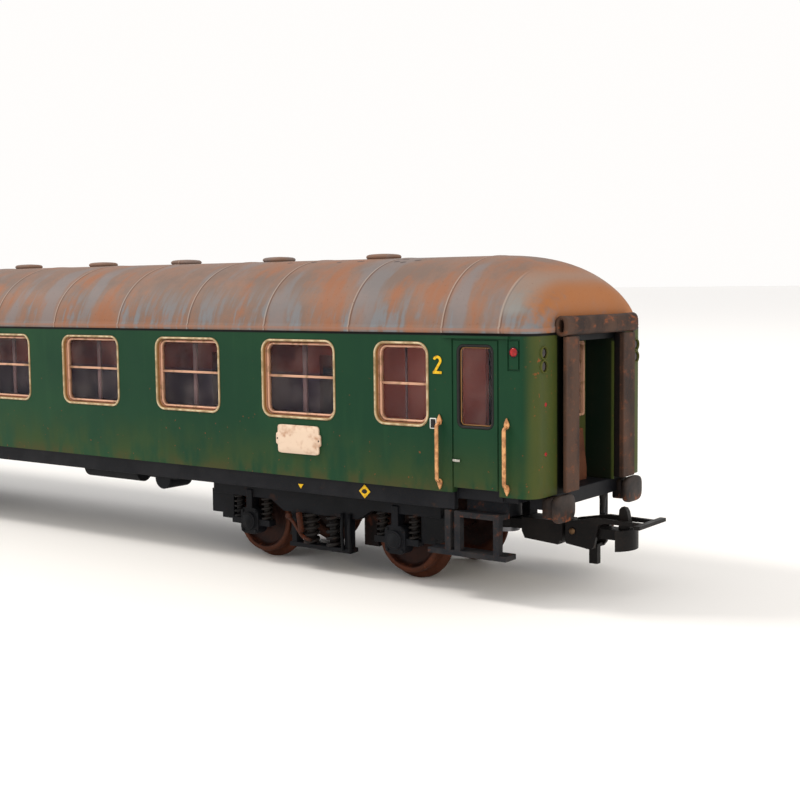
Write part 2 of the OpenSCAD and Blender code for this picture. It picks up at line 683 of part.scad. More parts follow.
module wheelset_2() color([0.35, 0.24, 0.17]) at_bogie(true) translate([-wheelbase / 2, 0, 0]) wheelset();

module wheelset_3() color([0.35, 0.24, 0.17]) at_bogie(false) translate([-wheelbase / 2, 0, 0]) wheelset();

module wheelset_4() color([0.35, 0.24, 0.17]) at_bogie(false) translate([wheelbase / 2, 0, 0]) wheelset();

// The screw that a coupler swings on
module coupler_screw() translate([half_l - swing_inset, 0, 0]) {
    translate([0, 0, arm_z - arm_t - slide]) cylinder(r = swing_r, h = arm_t + 3, $fn = 32);
    translate([0, 0, arm_z - arm_t - slide - screw_head_t]) cylinder(r = 1.9, h = screw_head_t, $fn = 32);
}

module coupler_screws() color("silver") for (front = [true, false]) at_end(front) coupler_screw();

// The arm and pocket, the rod with its pin, the shield and the upright hook
module coupler() {
    difference() {
        union() {
            translate([half_l - swing_inset, 0, arm_z - arm_t]) cylinder(r = 2.2, h = arm_t, $fn = 32);
            span([half_l - swing_inset, -1.6, arm_z - arm_t], [pocket_back + 0.5, 1.6, arm_z]);
        }
        translate([half_l - swing_inset, 0, arm_z - arm_t - 1]) cylinder(r = swing_r + run, h = arm_t + 2, $fn = 32);
    }
    outward(-2.2, 2.2) polygon([[pocket_back, pocket_z + 1.2], [pocket_back + 0.5, pocket_z + 0.2],
        [pocket_front - 0.7, pocket_z - 0.2], [pocket_front - 0.4, pocket_z + 0.4], [pocket_front, pocket_z + 0.4],
        [pocket_front, pocket_z + pocket_h], [pocket_back, pocket_z + pocket_h]]);
    span([pocket_front - 0.1, -rod_y, rod_z], [hook_x + 1.3, rod_y, rod_z + 1.4]);
    translate([lift_x, 0, lift_z]) rotate([90, 0, 0])
        cylinder(r = lift_r, h = 2 * (arm_y + loop_t + 0.2), center = true, $fn = 24);
    translate([hook_x - 1.9, 0, 6.45]) difference() {
        cylinder(r = 4, h = 2.9, $fn = 48);
        translate([0, 0, -1]) cylinder(r = 3.4, h = 5, $fn = 48);
        span([-5, -5, -1], [2.4, 5, 5]);
    }
    outward(-0.5, 0.5) polygon([[hook_x - 0.3, rod_z + 1.3], [hook_x + 1.5, rod_z + 1.3], [hook_x + 1.4, 9.9],
        [hook_x + 1, 11.7], [hook_x + 0.7, 12.2], [hook_x + 0.1, 12.3], [hook_x - 0.2, 11.9], [hook_x - 0.3, 10.6]]);
}

module coupler_front() color([0.07, 0.07, 0.07]) at_end(true) coupler();

module coupler_rear() color([0.07, 0.07, 0.07]) at_end(false) coupler();

loop_bar_z = 10.3;

// The lifting loop: two cheeks on the cross pin, their arms, the cross bar and the trip tab
module coupler_loop() {
    both_sides() difference() {
        outward(arm_y, arm_y + loop_t) polygon([
            [lift_x - 1.2, 7], [lift_x - 1, 6.6], [half_l + 0.2, 6.2], [half_l + 0.9, 6.1], [half_l + 1.4, 6.7],
            [half_l + 2.1, loop_bar_z - 0.6], [half_l + 3, loop_bar_z - 0.3], [half_l + loop_reach, loop_bar_z - 0.25],
            [half_l + loop_reach, loop_bar_z + 0.25], [half_l + 1.8, loop_bar_z + 0.4], [lift_x - 1.1, 9.8]]);
        translate([lift_x, 0, lift_z]) rotate([90, 0, 0]) cylinder(r = lift_r + run, h = 12, center = true, $fn = 24);
    }
    span([half_l + loop_reach - 0.9, -4.2, loop_bar_z - 0.25], [half_l + loop_reach, 4.2, loop_bar_z + 0.25]);
    span([half_l + 0.1, -arm_y - loop_t, 6.15], [half_l + 1, arm_y + loop_t, 6.65]);
    span([half_l - 0.2, -0.5, 3.8], [half_l + 1.1, 0.5, 6.6]);
}

module coupler_loop_front() color([0.07, 0.07, 0.07]) at_end(true) coupler_loop();

module coupler_loop_rear() color([0.07, 0.07, 0.07]) at_end(false) coupler_loop();

body_shell();
roof();
roof_vents();
glazing_left();
glazing_right();
window_frames_left();
window_frames_right();
door_seals();
end_door_front();
end_door_rear();
end_panes();
end_pane_frames();
bridge_plates();
gangway_tube_front();
gangway_tube_rear();
gangway_pillars_front();
gangway_pillars_rear();
interior();
ballast_weight();
underframe();
battery_boxes();
air_tanks();
steps_front();
steps_rear();
handrails();
door_handles();
destination_boards();
lamps();
buffers_front();
buffers_rear();
hoses();
bogie_pin_front();
bogie_pin_rear();
bogie_frame_front();
bogie_frame_rear();
bogie_springs_front();
bogie_springs_rear();
bogie_brakes_front();
bogie_brakes_rear();
wheelset_1();
wheelset_2();
wheelset_3();
wheelset_4();
coupler_screws();
coupler_front();
coupler_rear();
coupler_loop_front();
coupler_loop_rear();
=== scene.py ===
"""A model railway coach at 1:87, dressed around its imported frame. Sizes are millimetres, unless said."""

import functools
import math

import bmesh
import bpy
import numpy as np
from mathutils import Matrix, Vector


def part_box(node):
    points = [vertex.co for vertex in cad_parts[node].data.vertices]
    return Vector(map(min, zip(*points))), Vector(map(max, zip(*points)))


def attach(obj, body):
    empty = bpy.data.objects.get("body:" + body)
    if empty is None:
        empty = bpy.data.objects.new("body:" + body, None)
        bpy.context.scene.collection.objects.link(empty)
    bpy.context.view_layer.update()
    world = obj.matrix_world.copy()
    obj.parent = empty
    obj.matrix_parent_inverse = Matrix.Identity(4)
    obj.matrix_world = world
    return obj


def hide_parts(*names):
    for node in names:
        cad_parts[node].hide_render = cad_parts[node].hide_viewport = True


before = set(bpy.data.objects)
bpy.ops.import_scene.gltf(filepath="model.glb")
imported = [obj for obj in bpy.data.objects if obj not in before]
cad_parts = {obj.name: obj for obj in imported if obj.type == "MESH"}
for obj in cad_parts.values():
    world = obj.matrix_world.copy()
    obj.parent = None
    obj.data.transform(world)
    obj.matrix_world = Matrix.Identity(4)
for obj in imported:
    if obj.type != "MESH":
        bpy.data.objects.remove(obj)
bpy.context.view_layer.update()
MM = 0.001

# ----------------------------------------
# Camera, floor and lights. A plain pale studio floor under a bright, even sky, with one soft
# lamp high on the left and behind, so that the shadow falls to the front right.
# ----------------------------------------

VIEW_TURN = 0.6345
VIEW_DIP = 0.0872
VIEW_ROLL = -0.0109
VIEW_PLACE = np.array([231.0, -161.9, 43.2]) * MM
SENSOR_WIDTH = 36.0
FOCAL_LENGTH = 58.02
NEAREST_SEEN = 0.01
FLOOR_REACH = 20

flat = math.cos(VIEW_DIP)
sight = Vector((-math.sin(VIEW_TURN) * flat, math.cos(VIEW_TURN) * flat, -math.sin(VIEW_DIP)))
level = sight.cross(Vector((0, 0, 1))).normalized()
upward = level.cross(sight)
right = level * math.cos(VIEW_ROLL) + upward * math.sin(VIEW_ROLL)
upright = -level * math.sin(VIEW_ROLL) + upward * math.cos(VIEW_ROLL)
camera = bpy.data.objects.new("camera", bpy.data.cameras.new("camera"))
bpy.context.scene.collection.objects.link(camera)
camera.data.sensor_width = SENSOR_WIDTH
camera.data.lens = FOCAL_LENGTH
camera.data.clip_start = NEAREST_SEEN
turn = Matrix((right, upright, -sight)).transposed().to_4x4()
camera.matrix_world = Matrix.Translation(Vector(VIEW_PLACE)) @ turn
bpy.context.scene.camera = camera
bpy.context.scene.view_settings.view_transform = "Standard"


class Value:
    """One shader value. Operators on it add Math nodes to its material."""

    def __init__(self, finish, socket):
        self.finish, self.socket = finish, socket

    def _math(self, operation, first, second=0.0):
        return self.finish.node("ShaderNodeMath", {"operation": operation}, {0: first, 1: second})

    def __add__(self, other):
        return self._math("ADD", self, other)

    def __sub__(self, other):
        return self._math("SUBTRACT", self, other)

    def __rsub__(self, other):
        return self._math("SUBTRACT", other, self)

    def __mul__(self, other):
        return self._math("MULTIPLY", self, other)

    def __truediv__(self, other):
        return self._math("DIVIDE", self, other)

    __radd__, __rmul__ = __add__, __mul__

    def size(self):
        return self._math("ABSOLUTE", self)

    def most(self, other):
        return self._math("MAXIMUM", self, other)

    def step(self, low, high):
        """0 below low, 1 above high, and smooth between. With low above high it falls instead."""
        turned = low > high
        ends = {1: min(low, high), 2: max(low, high)}
        outs = {3: 1.0, 4: 0.0} if turned else {3: 0.0, 4: 1.0}
        settings = {"interpolation_type": "SMOOTHSTEP"}
        return self.finish.node("ShaderNodeMapRange", settings, {0: self, **ends, **outs})


def strongest(values):
    """The largest of several shader values at each point."""
    return functools.reduce(Value.most, values)


def tint(red, green, blue):
    """A colour as it looks on a screen, 0 to 255, made linear for a shader."""
    parts = [c / 255 for c in (red, green, blue)]
    return tuple(p / 12.92 if p <= 0.04045 else ((p + 0.055) / 1.055) ** 2.4 for p in parts) + (1.0,)


class Finish:
    """A material, and the nodes that are added to it."""

    def __init__(self, name, roughness=0.5, **uniform):
        self.material = bpy.data.materials.new(name)
        self.material.use_nodes = True
        self.tree = self.material.node_tree
        self.shader = self.tree.nodes["Principled BSDF"]
        self.place = self.colour = None
        self.put(**{"Roughness": roughness, "Specular_IOR_Level": 0.12})
        for socket, amount in uniform.items():
            self.shader.inputs[socket.replace("_", " ")].default_value = amount

    def node(self, kind, settings=None, inputs=None, out=0):
        """Adds one node: its settings first, then the values or links of its sockets."""
        made = self.tree.nodes.new(kind)
        for name, setting in (settings or {}).items():
            setattr(made, name, setting)
        for name, amount in (inputs or {}).items():
            if isinstance(amount, Value):
                self.tree.links.new(amount.socket, made.inputs[name])
            else:
                made.inputs[name].default_value = amount
        return Value(self, made.outputs[out])

    def put(self, **sockets):
        """Links or sets sockets of the surface shader."""
        for name, amount in sockets.items():
            socket = self.shader.inputs[name.replace("_", " ")]
            if isinstance(amount, Value):
                self.tree.links.new(amount.socket, socket)
            else:
                socket.default_value = amount

    def where(self):
        """The place on the object, in millimetres."""
        if self.place is None:
            spot = self.node("ShaderNodeTexCoord", out="Object")
            self.place = self.node("ShaderNodeMapping", inputs={0: spot, 3: (1000, 1000, 1000)})
        return self.place

    def axis(self, name):
        return self.node("ShaderNodeSeparateXYZ", inputs={0: self.where()}, out=name)

    def clouds(self, per_mm, stretch=(1, 1, 1), detail=4.0, shift=0.0, rough=0.55):
        """Noise from about 0.25 to 0.75, so many cells to a millimetre along each axis."""
        moved = {0: self.where(), 1: (shift, shift, shift), 3: stretch}
        spot = self.node("ShaderNodeMapping", inputs=moved)
        inputs = {"Vector": spot, "Scale": per_mm, "Detail": detail, "Roughness": rough}
        return self.node("ShaderNodeTexNoise", inputs=inputs)

    def ground(self, share, first, second):
        """Starts the base colour, as a colour between two others."""
        inputs = {0: share, 6: first, 7: second}
        self.colour = self.node("ShaderNodeMix", {"data_type": "RGBA"}, inputs, out=2)
        self.put(Base_Color=self.colour)

    def coat(self, share, colour):
        """Lays a colour over the base colour so far, where the share is above 0."""
        self.ground(share, self.colour, colour)

    def bump(self, height, depth_mm, strength):
        """Bumps of a height from 0 to 1, so many millimetres deep."""
        inputs = {"Strength": strength, "Distance": depth_mm * MM, "Height": height}
        self.put(Normal=self.node("ShaderNodeBump", inputs=inputs))


def mottled(name, per_mm, first, second, detail=4, edges=None, roughness=0.5, gain=0.0, **uniform):
    """Paint of two tones in clouds. Two edges sharpen the clouds, and a gain roughens the second tone."""
    paint = Finish(name, roughness=roughness, **uniform)
    cloud = paint.clouds(per_mm, detail=detail)
    paint.ground(cloud.step(*edges) if edges else cloud, first, second)
    if gain:
        paint.put(Roughness=roughness + cloud * gain)
    return paint


def stained(name, base, second, stain, share=0.5, roughness=0.55, grain=1.0, **uniform):
    """Plastic or sheet with a second tone in clouds, stains in smaller patches, and a fine grain."""
    paint = Finish(name, **uniform)
    cloudy = paint.clouds(0.16 * grain, detail=5)
    patches = paint.clouds(0.45 * grain, detail=6, shift=17)
    fine = paint.clouds(4.0 * grain, detail=3, shift=33)
    paint.ground(cloudy.step(0.36, 0.64), base, second)
    paint.coat(patches.step(0.68 - 0.22 * share, 0.82 - 0.18 * share) * 0.75, stain)
    paint.coat(fine.step(0.55, 0.75) * 0.25, stain)
    paint.put(Roughness=roughness - 0.1 + patches * 0.25)
    paint.bump(fine + patches * 0.4, 0.015, 0.6)
    return paint


def link(name, mesh, finish, body=None, stands_for=(), smooth=True):
    """Adds a mesh to the scene, with its finish, and says what it rides on and stands for."""
    piece = bpy.data.objects.new(name, mesh)
    bpy.context.scene.collection.objects.link(piece)
    mesh.materials.clear()
    mesh.materials.append(finish.material)
    mesh.polygons.foreach_set("use_smooth", np.full(len(mesh.polygons), smooth))
    if body:
        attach(piece, body)
    if stands_for:
        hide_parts(*stands_for)
    return piece


floor_finish = Finish("studio_floor", roughness=0.9)
floor_finish.put(Base_Color=(0.93, 0.92, 0.91, 1.0))
floor_mesh = bpy.data.meshes.new("studio_floor")
floor_corners = [(FLOOR_REACH * x, FLOOR_REACH * y, 0) for x, y in ((-1, -1), (1, -1), (1, 1), (-1, 1))]
floor_mesh.from_pydata(floor_corners, [], [(0, 1, 2, 3)])
floor = link("studio_floor", floor_mesh, floor_finish)

world = bpy.data.worlds.new("studio")
bpy.context.scene.world = world
world.use_nodes = True
world.node_tree.nodes["Background"].inputs[0].default_value = (1.0, 0.985, 0.97, 1.0)
world.node_tree.nodes["Background"].inputs[1].default_value = 1.0


def lamp(name, place, aim, size, watts, colour=(1, 1, 1)):
    """A square soft lamp at a place in metres, aimed at a point."""
    data = bpy.data.lights.new(name, "AREA")
    data.size, data.energy, data.color = size, watts, colour
    lit = bpy.data.objects.new(name, data)
    bpy.context.scene.collection.objects.link(lit)
    lit.location = place
    lit.rotation_euler = (Vector(aim) - Vector(place)).to_track_quat("-Z", "Y").to_euler()
    return lit


lamp("key_lamp", (-0.6, -0.3, 0.85), (0.08, 0, 0.02), 0.25, 5.5, (1.0, 0.95, 0.88))
lamp("end_lamp", (0.75, -0.35, 0.3), (0.13, 0, 0.025), 0.3, 1.2, (1.0, 0.84, 0.6))

# ----------------------------------------
# The body shell: one injection moulding in green plastic, with the side doors, their grooves and
# the gangway recesses moulded in. It is weathered: dull, streaked downwards, brown near the sill.
# ----------------------------------------

body_low, body_high = (np.array(corner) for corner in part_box("body_shell"))
HALF_L = body_high[0] / MM
SILL = body_low[2] / MM
SEAM = body_high[2] / MM
ROOF_INSET = 0.05
HALF_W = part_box("roof")[1][1] / MM + ROOF_INSET
ENDS = ((1, "front"), (-1, "rear"))
SIDES = ((-1, "right"), (1, "left"))
CORNERS = [(end, side) for end in (-1, 1) for side in (-1, 1)]
JOIN_NEARER = 2e-6
FLAT_WITHIN = math.radians(0.5)
ROUND_OVER = math.radians(30)


def softened(name, node, finish, body, edge, segments=2):
    """A copy of a CAD node with its flat faces joined and its edges rounded, so that they catch light."""
    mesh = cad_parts[node].data.copy()
    mesh.name = name
    shape = bmesh.new()
    shape.from_mesh(mesh)
    bmesh.ops.remove_doubles(shape, verts=shape.verts, dist=JOIN_NEARER)
    bmesh.ops.dissolve_limit(shape, angle_limit=FLAT_WITHIN, verts=shape.verts, edges=shape.edges)
    shape.to_mesh(mesh)
    shape.free()
    piece = link(name, mesh, finish, body, (node,))
    bevel = piece.modifiers.new("edges", "BEVEL")
    bevel.width = edge * MM
    bevel.segments = segments
    bevel.limit_method = "ANGLE"
    bevel.angle_limit = ROUND_OVER
    bevel.harden_normals = False
    piece.modifiers.new("normals", "WEIGHTED_NORMAL").keep_sharp = True
    return piece


GREEN_DEEP, GREEN_WORN = tint(18, 56, 36), tint(26, 64, 39)
OLIVE_GRIME_AND_END_LIGHT, MUD, RUST = tint(78, 80, 34), tint(74, 62, 38), tint(140, 72, 36)


def weathered_green(name, olive=0.0):
    """Green plastic with sun-bleached streaks, an olive cast of grime low down, olive at the ends that is
    partly grime and partly painted warm light on the end walls, and specks of rust. Inside a gangway recess it
    is painted near-black as shade; behind the gangway tube, where the rubbers stand on the end wall, its
    near-black is partly dark rubber and partly painted shade; it is black along the seam, but not on the lip."""
    paint = Finish(name)
    out, aside, height = paint.axis("X").size(), paint.axis("Y").size(), paint.axis("Z")
    patches = paint.clouds(0.045, detail=3)
    streaks = paint.clouds(0.55, (1, 1, 0.07), detail=5, shift=7)
    grime = paint.clouds(0.3, (1, 1, 0.5), detail=6, shift=21)
    specks = paint.clouds(1.6, detail=3, shift=40)
    paint.ground(patches.step(0.35, 0.65), GREEN_DEEP, GREEN_WORN)
    paint.coat(streaks.step(0.5, 0.8) * 0.3, tint(36, 72, 44))
    low = height.step(SILL + 9, SILL - 1) * grime.step(0.3, 0.62)
    paint.coat(low * 0.4, OLIVE_GRIME_AND_END_LIGHT)
    # Olive over the last 1.9 mm of each end and on the end walls: partly grime, partly painted warm light on
    # the end walls.
    end = out.step(HALF_L - 1.9, HALF_L - 0.1)
    paint.coat((end * (0.35 + grime * 0.6)).most(olive), OLIVE_GRIME_AND_END_LIGHT)
    sill = height.step(SILL + 2.2, SILL) * grime.step(0.42, 0.6)
    paint.coat(sill * 0.45, MUD)
    rust = specks.step(0.675, 0.72) * height.step(SILL + 22, SILL + 2).most(end)
    paint.coat(rust * 0.7, RUST)
    # Painted shade: the body inside each gangway recess is painted near-black, except on the lip.
    recess = out.step(HALF_L - 6, HALF_L - 5.4) * aside.step(6.9, 6.6)
    lip = recess * out.step(HALF_L - 0.5, HALF_L - 0.2) * height.step(SEAM - 1.5, SEAM - 1.8)
    paint.coat(recess * (1 - lip) * 0.9, tint(10, 15, 13))
    # Near-black on the end wall where the gangway rubbers stand: partly dark rubber, partly painted shade
    # between the rubbers and the wall.
    rubber_seat_and_shade = out.step(HALF_L - 0.12, HALF_L - 0.04) * aside.step(10.15, 9.95)
    paint.coat(rubber_seat_and_shade * (1 - lip) * 0.95, tint(6, 8, 12))
    paint.coat(height.step(SEAM - 0.3, SEAM - 0.12), tint(12, 14, 14))
    paint.put(Roughness=0.36 + grime * 0.22 + low * 0.15)
    paint.bump(paint.clouds(5.0, detail=2) + specks * 0.5, 0.012, 0.5)
    return paint


body_paint = weathered_green("weathered_green")
softened("coach_body", "body_shell", body_paint, "coach", edge=0.07)

# ----------------------------------------
# The roof: a separate moulding that clips on to the body. Raised seams run across it, a gutter
# edge runs along it, and its ends round down to the gangway. Painted grey, and heavily rusted.
# ----------------------------------------

ROOF_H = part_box("roof")[1][2] / MM - SEAM - 0.12
ROOF_RINGS = 44
ROOF_THICK = 1.2
DOME_L = 14.5
DOME_END = 2.4
RIB_FIRST = 14.5
RIB_H = 0.07
RIBBED_L = 2 * (HALF_L - RIB_FIRST)
RIB_STEP = RIBBED_L / round(RIBBED_L / 16.3)
ribs = np.arange(-RIBBED_L / 2, RIBBED_L / 2 + 0.1, RIB_STEP)


def grid_mesh(name, grids):
    """A mesh of one or more grids of points, in millimetres. Each grid comes with whether its rows and
    its columns close on themselves; the faces are the quads between neighbouring points."""
    points, faces, base = [], [], 0
    for spots, rows_close, columns_close in grids:
        rows, columns = spots.shape[:2]
        number = np.arange(rows * columns).reshape(rows, columns) + base
        down = np.vstack([number, number[:1]]) if rows_close else number
        both = np.hstack([down, down[:, :1]]) if columns_close else down
        quads = np.stack([both[:-1, :-1], both[:-1, 1:], both[1:, 1:], both[1:, :-1]], axis=-1)
        points.append(spots.reshape(-1, 3))
        faces.append(quads.reshape(-1, 4))
        base += rows * columns
    mesh = bpy.data.meshes.new(name)
    mesh.from_pydata((np.vstack(points) * MM).tolist(), [], np.vstack(faces).tolist())
    mesh.validate()
    return mesh


def build(name, grids, finish, body, stands_for=(), cap=True, smooth=True):
    """Adds a piece made of grids, with doubled points merged, its open rims closed and its faces outwards."""
    mesh = grid_mesh(name, grids)
    shape = bmesh.new()
    shape.from_mesh(mesh)
    bmesh.ops.remove_doubles(shape, verts=shape.verts, dist=JOIN_NEARER / 2)
    if cap:
        bmesh.ops.holes_fill(shape, edges=[e for e in shape.edges if e.is_boundary], sides=0)
    bmesh.ops.recalc_face_normals(shape, faces=shape.faces)
    shape.to_mesh(mesh)
    shape.free()
    return link(name, mesh, finish, body, stands_for, smooth)


def bowed(wave, power):
    """A cosine or sine that bends a circle to a superellipse: raised to two over the power, its sign kept."""
    return np.sign(wave) * np.abs(wave) ** (2 / power)


def roof_surface():
    """The roof as rings stacked from its seam to its ridge. A ring runs along one side, round an end, back
    along the other side and round the other end. Its half width follows a superellipse of the height, its
    reach at the ends an ellipse, and its ends are superellipses that turn rounder higher up. The seams
    between the sheets and the gutter edge are added outwards."""
    climb = ROOF_H * np.sin(np.linspace(0, math.pi / 2, ROOF_RINGS))[:, None] ** (2 / 1.8)
    low = np.array([[0.0], [0.25], [0.45], [0.6], [0.75], [0.9], [1.1]])
    z = np.concatenate([low, climb[climb[:, 0] > 1.15]])
    half = (HALF_W - ROOF_INSET) * np.clip(1 - (z / ROOF_H) ** 1.8, 0, 1) ** (1 / 2.3)
    over = np.clip((z - DOME_END) / (ROOF_H - DOME_END), 0, 1)
    reach = DOME_L * np.clip(1 - over**2.25, 0, 1) ** (1 / 2.25)
    power = 2.7 + 13.3 * np.exp(-z / 3)
    straight = HALF_L - DOME_L
    plain = np.arange(-straight, straight + 0.1, 4.0)
    near = (ribs[:, None] + np.linspace(-0.42, 0.42, 9)[None]).ravel()
    side = np.unique(np.round(np.concatenate([plain, near[np.abs(near) <= straight]]), 4))
    turn = np.linspace(math.pi / 2, -math.pi / 2, 61)[1:-1][None]
    bow = np.clip(np.cos(turn), 0, 1) ** (2 / power)
    swing = bowed(np.sin(turn), power)
    raised = RIB_H * np.exp(-(((side[:, None] - ribs[None]) / 0.14) ** 2)).max(axis=1)[None]
    raised = raised * np.clip((z - 0.9) / 0.3, 0, 1)
    gutter = 0.14 * np.clip((1.05 - z) / 0.15, 0, 1) - 0.1 * np.clip((0.5 - z) / 0.2, 0, 1)
    lift = 1 + raised / ROOF_H
    sides = np.stack([side + 0 * z, half + raised * half / HALF_W + gutter + 0 * side, z * lift], axis=-1)
    front = np.stack([straight + (reach + gutter) * bow, (half + gutter) * swing, z + 0 * turn], axis=-1)
    across = [-1, -1, 1]
    return np.concatenate([sides, front, sides * across, front * across], axis=1) + [0, 0, SEAM]


RUST_ORANGE, GREY_BROWN = tint(148, 92, 58), tint(116, 98, 89)
# The dark rust also paints the shadow beside the roof seams, and the seam colour is their painted highlight.
BLUE_GREY, DARK_RUST_AND_SEAM_SHADOW, SEAM_HIGHLIGHT = tint(116, 122, 128), tint(86, 56, 44), tint(166, 152, 142)
DENT_WIDTH = 0.5
# Each dent's place along and across the roof, and its half length
DENTS = [(94, -5, 0.6), (99, -5, 0.6), (104.5, -5.5, 0.5), (108.5, -5.2, 0.8), (116, -6, 0.6),
         (117.5, -6.5, 0.6), (116.5, -4.5, 0.8), (119.5, -5.5, 0.7), (-97, 5, 0.6), (-106, 5.5, 0.8)]


def rusty_roof(name):
    """Grey-brown paint with rust that has run down the roof in soft bands, blue-grey where it is bare low
    down, a pale gutter edge, a painted highlight along each seam and along a line near each end, with a
    painted shadow beside each on the side towards the nearer end, and small dents near the ridge, drawn only
    as dark patches of painted shade."""
    paint = Finish(name)
    along, across, height = paint.axis("X"), paint.axis("Y"), paint.axis("Z")
    bands = paint.clouds(0.13, (1, 0.3, 0.3), detail=4, shift=3)
    streaks = paint.clouds(0.8, (1, 0.1, 0.14), detail=4, shift=9)
    patches = paint.clouds(0.085, (1, 1, 1), detail=5, shift=31, rough=0.65)
    grain = paint.clouds(3.5, detail=4, shift=50)
    rust = (bands * 0.5 + patches * 0.35 + streaks * 0.15).step(0.5, 0.6)
    bare = (patches * 0.5 + streaks * 0.5).step(0.52, 0.42) * height.step(SEAM + 8.5, SEAM + 1)
    bare = bare.most(bands.step(0.46, 0.38) * 0.6)
    paint.ground(patches.step(0.4, 0.62), GREY_BROWN, tint(132, 104, 90))
    paint.coat(bare * 0.8, BLUE_GREY)
    paint.coat(rust * (0.35 + streaks * 0.5), RUST_ORANGE)
    end = along.size().step(HALF_L - 8, HALF_L - 1)
    paint.coat(end * 0.85 * patches.step(0.36, 0.5), tint(160, 103, 60))
    paint.coat(height.step(SEAM + 8, SEAM + ROOF_H) * 0.35, tint(122, 94, 78))
    gaps = [(along - float(place)) * math.copysign(1, place) for place in ribs]
    outer = along.size() - (HALF_L - 5.3)
    fade = height.step(SEAM + 9.0, SEAM + 6.5)
    # Painted highlight: a pale line along the top of each seam, and of the line near each end.
    lit = strongest([gap.size().step(0.17, 0.07) for gap in gaps])
    lit = lit.most(outer.size().step(0.22, 0.08) * fade)
    # Painted shadow: a dark line beside each seam and that line, on the side towards the nearer end.
    behind = strongest([(gap - 0.24).size().step(0.16, 0.05) for gap in gaps])
    behind = behind.most((outer - 0.22).size().step(0.2, 0.05) * fade)
    paint.coat(behind * 0.65, DARK_RUST_AND_SEAM_SHADOW)
    paint.coat(lit * 0.55, SEAM_HIGHLIGHT)
    corner = outer.step(-0.2, 0.4) * outer.step(4.6, 2.2)
    corner = corner * height.step(SEAM + 2, SEAM + 3.4) * height.step(SEAM + 9.5, SEAM + 7)
    paint.coat(corner * (0.55 + bare * 0.3), tint(134, 132, 128))
    edge = (height - (SEAM + 0.6)).size().step(0.26, 0.14)
    paint.coat(edge * (0.3 + grain * 0.5), tint(152, 112, 94))
    # Painted shade: the dents have no shape of their own; each is a dark patch in place of the shade in a
    # small dent.
    dents = []
    for x, y, long in DENTS:
        ahead, aside = (along - x) / long, (across - y) / DENT_WIDTH
        dents.append((ahead * ahead + aside * aside).step(1, 0.45))
    paint.coat(strongest(dents) * 0.8, tint(58, 46, 42))
    specks = grain.step(0.66, 0.71) * patches.step(0.42, 0.6)
    paint.coat(specks * 0.55, DARK_RUST_AND_SEAM_SHADOW)
    paint.coat(height.step(SEAM + 0.22, SEAM + 0.08), tint(16, 16, 16))
    paint.put(Roughness=0.46 + grain * 0.22)
    paint.bump(grain * 0.5 + streaks * 0.7 + lit, 0.03, 0.6)
    return paint


roof_paint = rusty_roof("rusty_roof")
roof_grids = [(roof_surface(), False, True)]
roof_piece = build("coach_roof", roof_grids, roof_paint, "coach", ("roof",), cap=False)
shell = roof_piece.modifiers.new("thickness", "SOLIDIFY")
shell.thickness = ROOF_THICK * MM
shell.offset = -1.0

# ----------------------------------------
# Roof ventilators: eleven low caps in a row along the ridge, painted with the roof. Their sides
# stand upright and their tops are rounded over.
# ----------------------------------------

VENT_FIRST = 109.0
VENT_STEP = 2 * VENT_FIRST / round(2 * VENT_FIRST / 22.8)
RIDGE = SEAM + ROOF_H


def oval(half_x, half_y, power=2.0, count=48):
    """Points of a superellipse, from a circle's cosines and sines."""
    turn = np.linspace(0, 2 * math.pi, count + 1)[:-1]
    return np.stack([half_x * bowed(np.cos(turn), power), half_y * bowed(np.sin(turn), power)], axis=1)


def layered(outline, levels, centre=(0, 0, 0)):
    """An outline stacked up: each level shrinks it about its middle by a share, at a height."""
    share, height = np.array(levels, float).T
    flat = share[:, None, None] * outline[None]
    spots = np.concatenate([flat, np.broadcast_to(height[:, None, None], flat.shape[:2] + (1,))], axis=2)
    return spots + np.array(centre), False, True


VENT_LEVELS = [(0.93, -0.45), (0.94, 0.05), (0.99, 0.12), (1, 0.2), (0.99, 0.4), (0.94, 0.55), (0.84, 0.66),
               (0.6, 0.74), (0.3, 0.785), (0.02, 0.8)]
vents = [layered(oval(2.75, 1.95, 3.2, 40), VENT_LEVELS, (x, 0, RIDGE))
         for x in np.arange(-VENT_FIRST, VENT_FIRST + 0.1, VENT_STEP)]
build("roof_ventilators", vents, roof_paint, "coach", ("roof_vents",))

# ----------------------------------------
# Side windows: a gilt frame pressed into each opening, with a second, set-back sash frame on the
# pane and the bar of its drop light. The clear strip behind a side carries all its panes.
# ----------------------------------------

WINDOW_Z = 29.7
WINDOW_H = 11.9
# Each window's middle, its width, and how far up it its bar lies
BIG_WINDOWS = [(x, 14.4, 0.53) for x in (np.arange(10) - 4.5) * 23.3]
NARROW_WINDOWS = [(end * 123.95, 9.5, 0.5) for end in (-1, 1)]
FRAME_R = 1.8
BAR_Y = 15.45
DOOR_X = HALF_L - 9.125
DOOR_WINDOW = (5.85, 11.4, 1.0)


def framed(width, height, radius, profile, centre, side, ring=True):
    """A frame carried round a rounded rectangle. A profile point is how far it lies inside the outline,
    and its depth in Y; each corner's arc shrinks as the outline does."""
    inset, depth = np.array(profile, float).T[:, :, None]
    quarter = np.linspace(0, math.pi / 2, 8)
    angle = (quarter[None, :] + np.arange(4)[:, None] * math.pi / 2).ravel()[None]
    sign_x = np.repeat([1, -1, -1, 1], len(quarter))[None]
    sign_z = np.repeat([1, 1, -1, -1], len(quarter))[None]
    arc = np.maximum(radius - inset, 0.08)
    x = centre[0] + sign_x * (width / 2 - inset - arc) + arc * np.cos(angle)
    z = centre[1] + sign_z * (height / 2 - inset - arc) + arc * np.sin(angle)
    y = side * (depth + 0 * x)
    return np.stack([x, y, z], axis=-1), ring, True


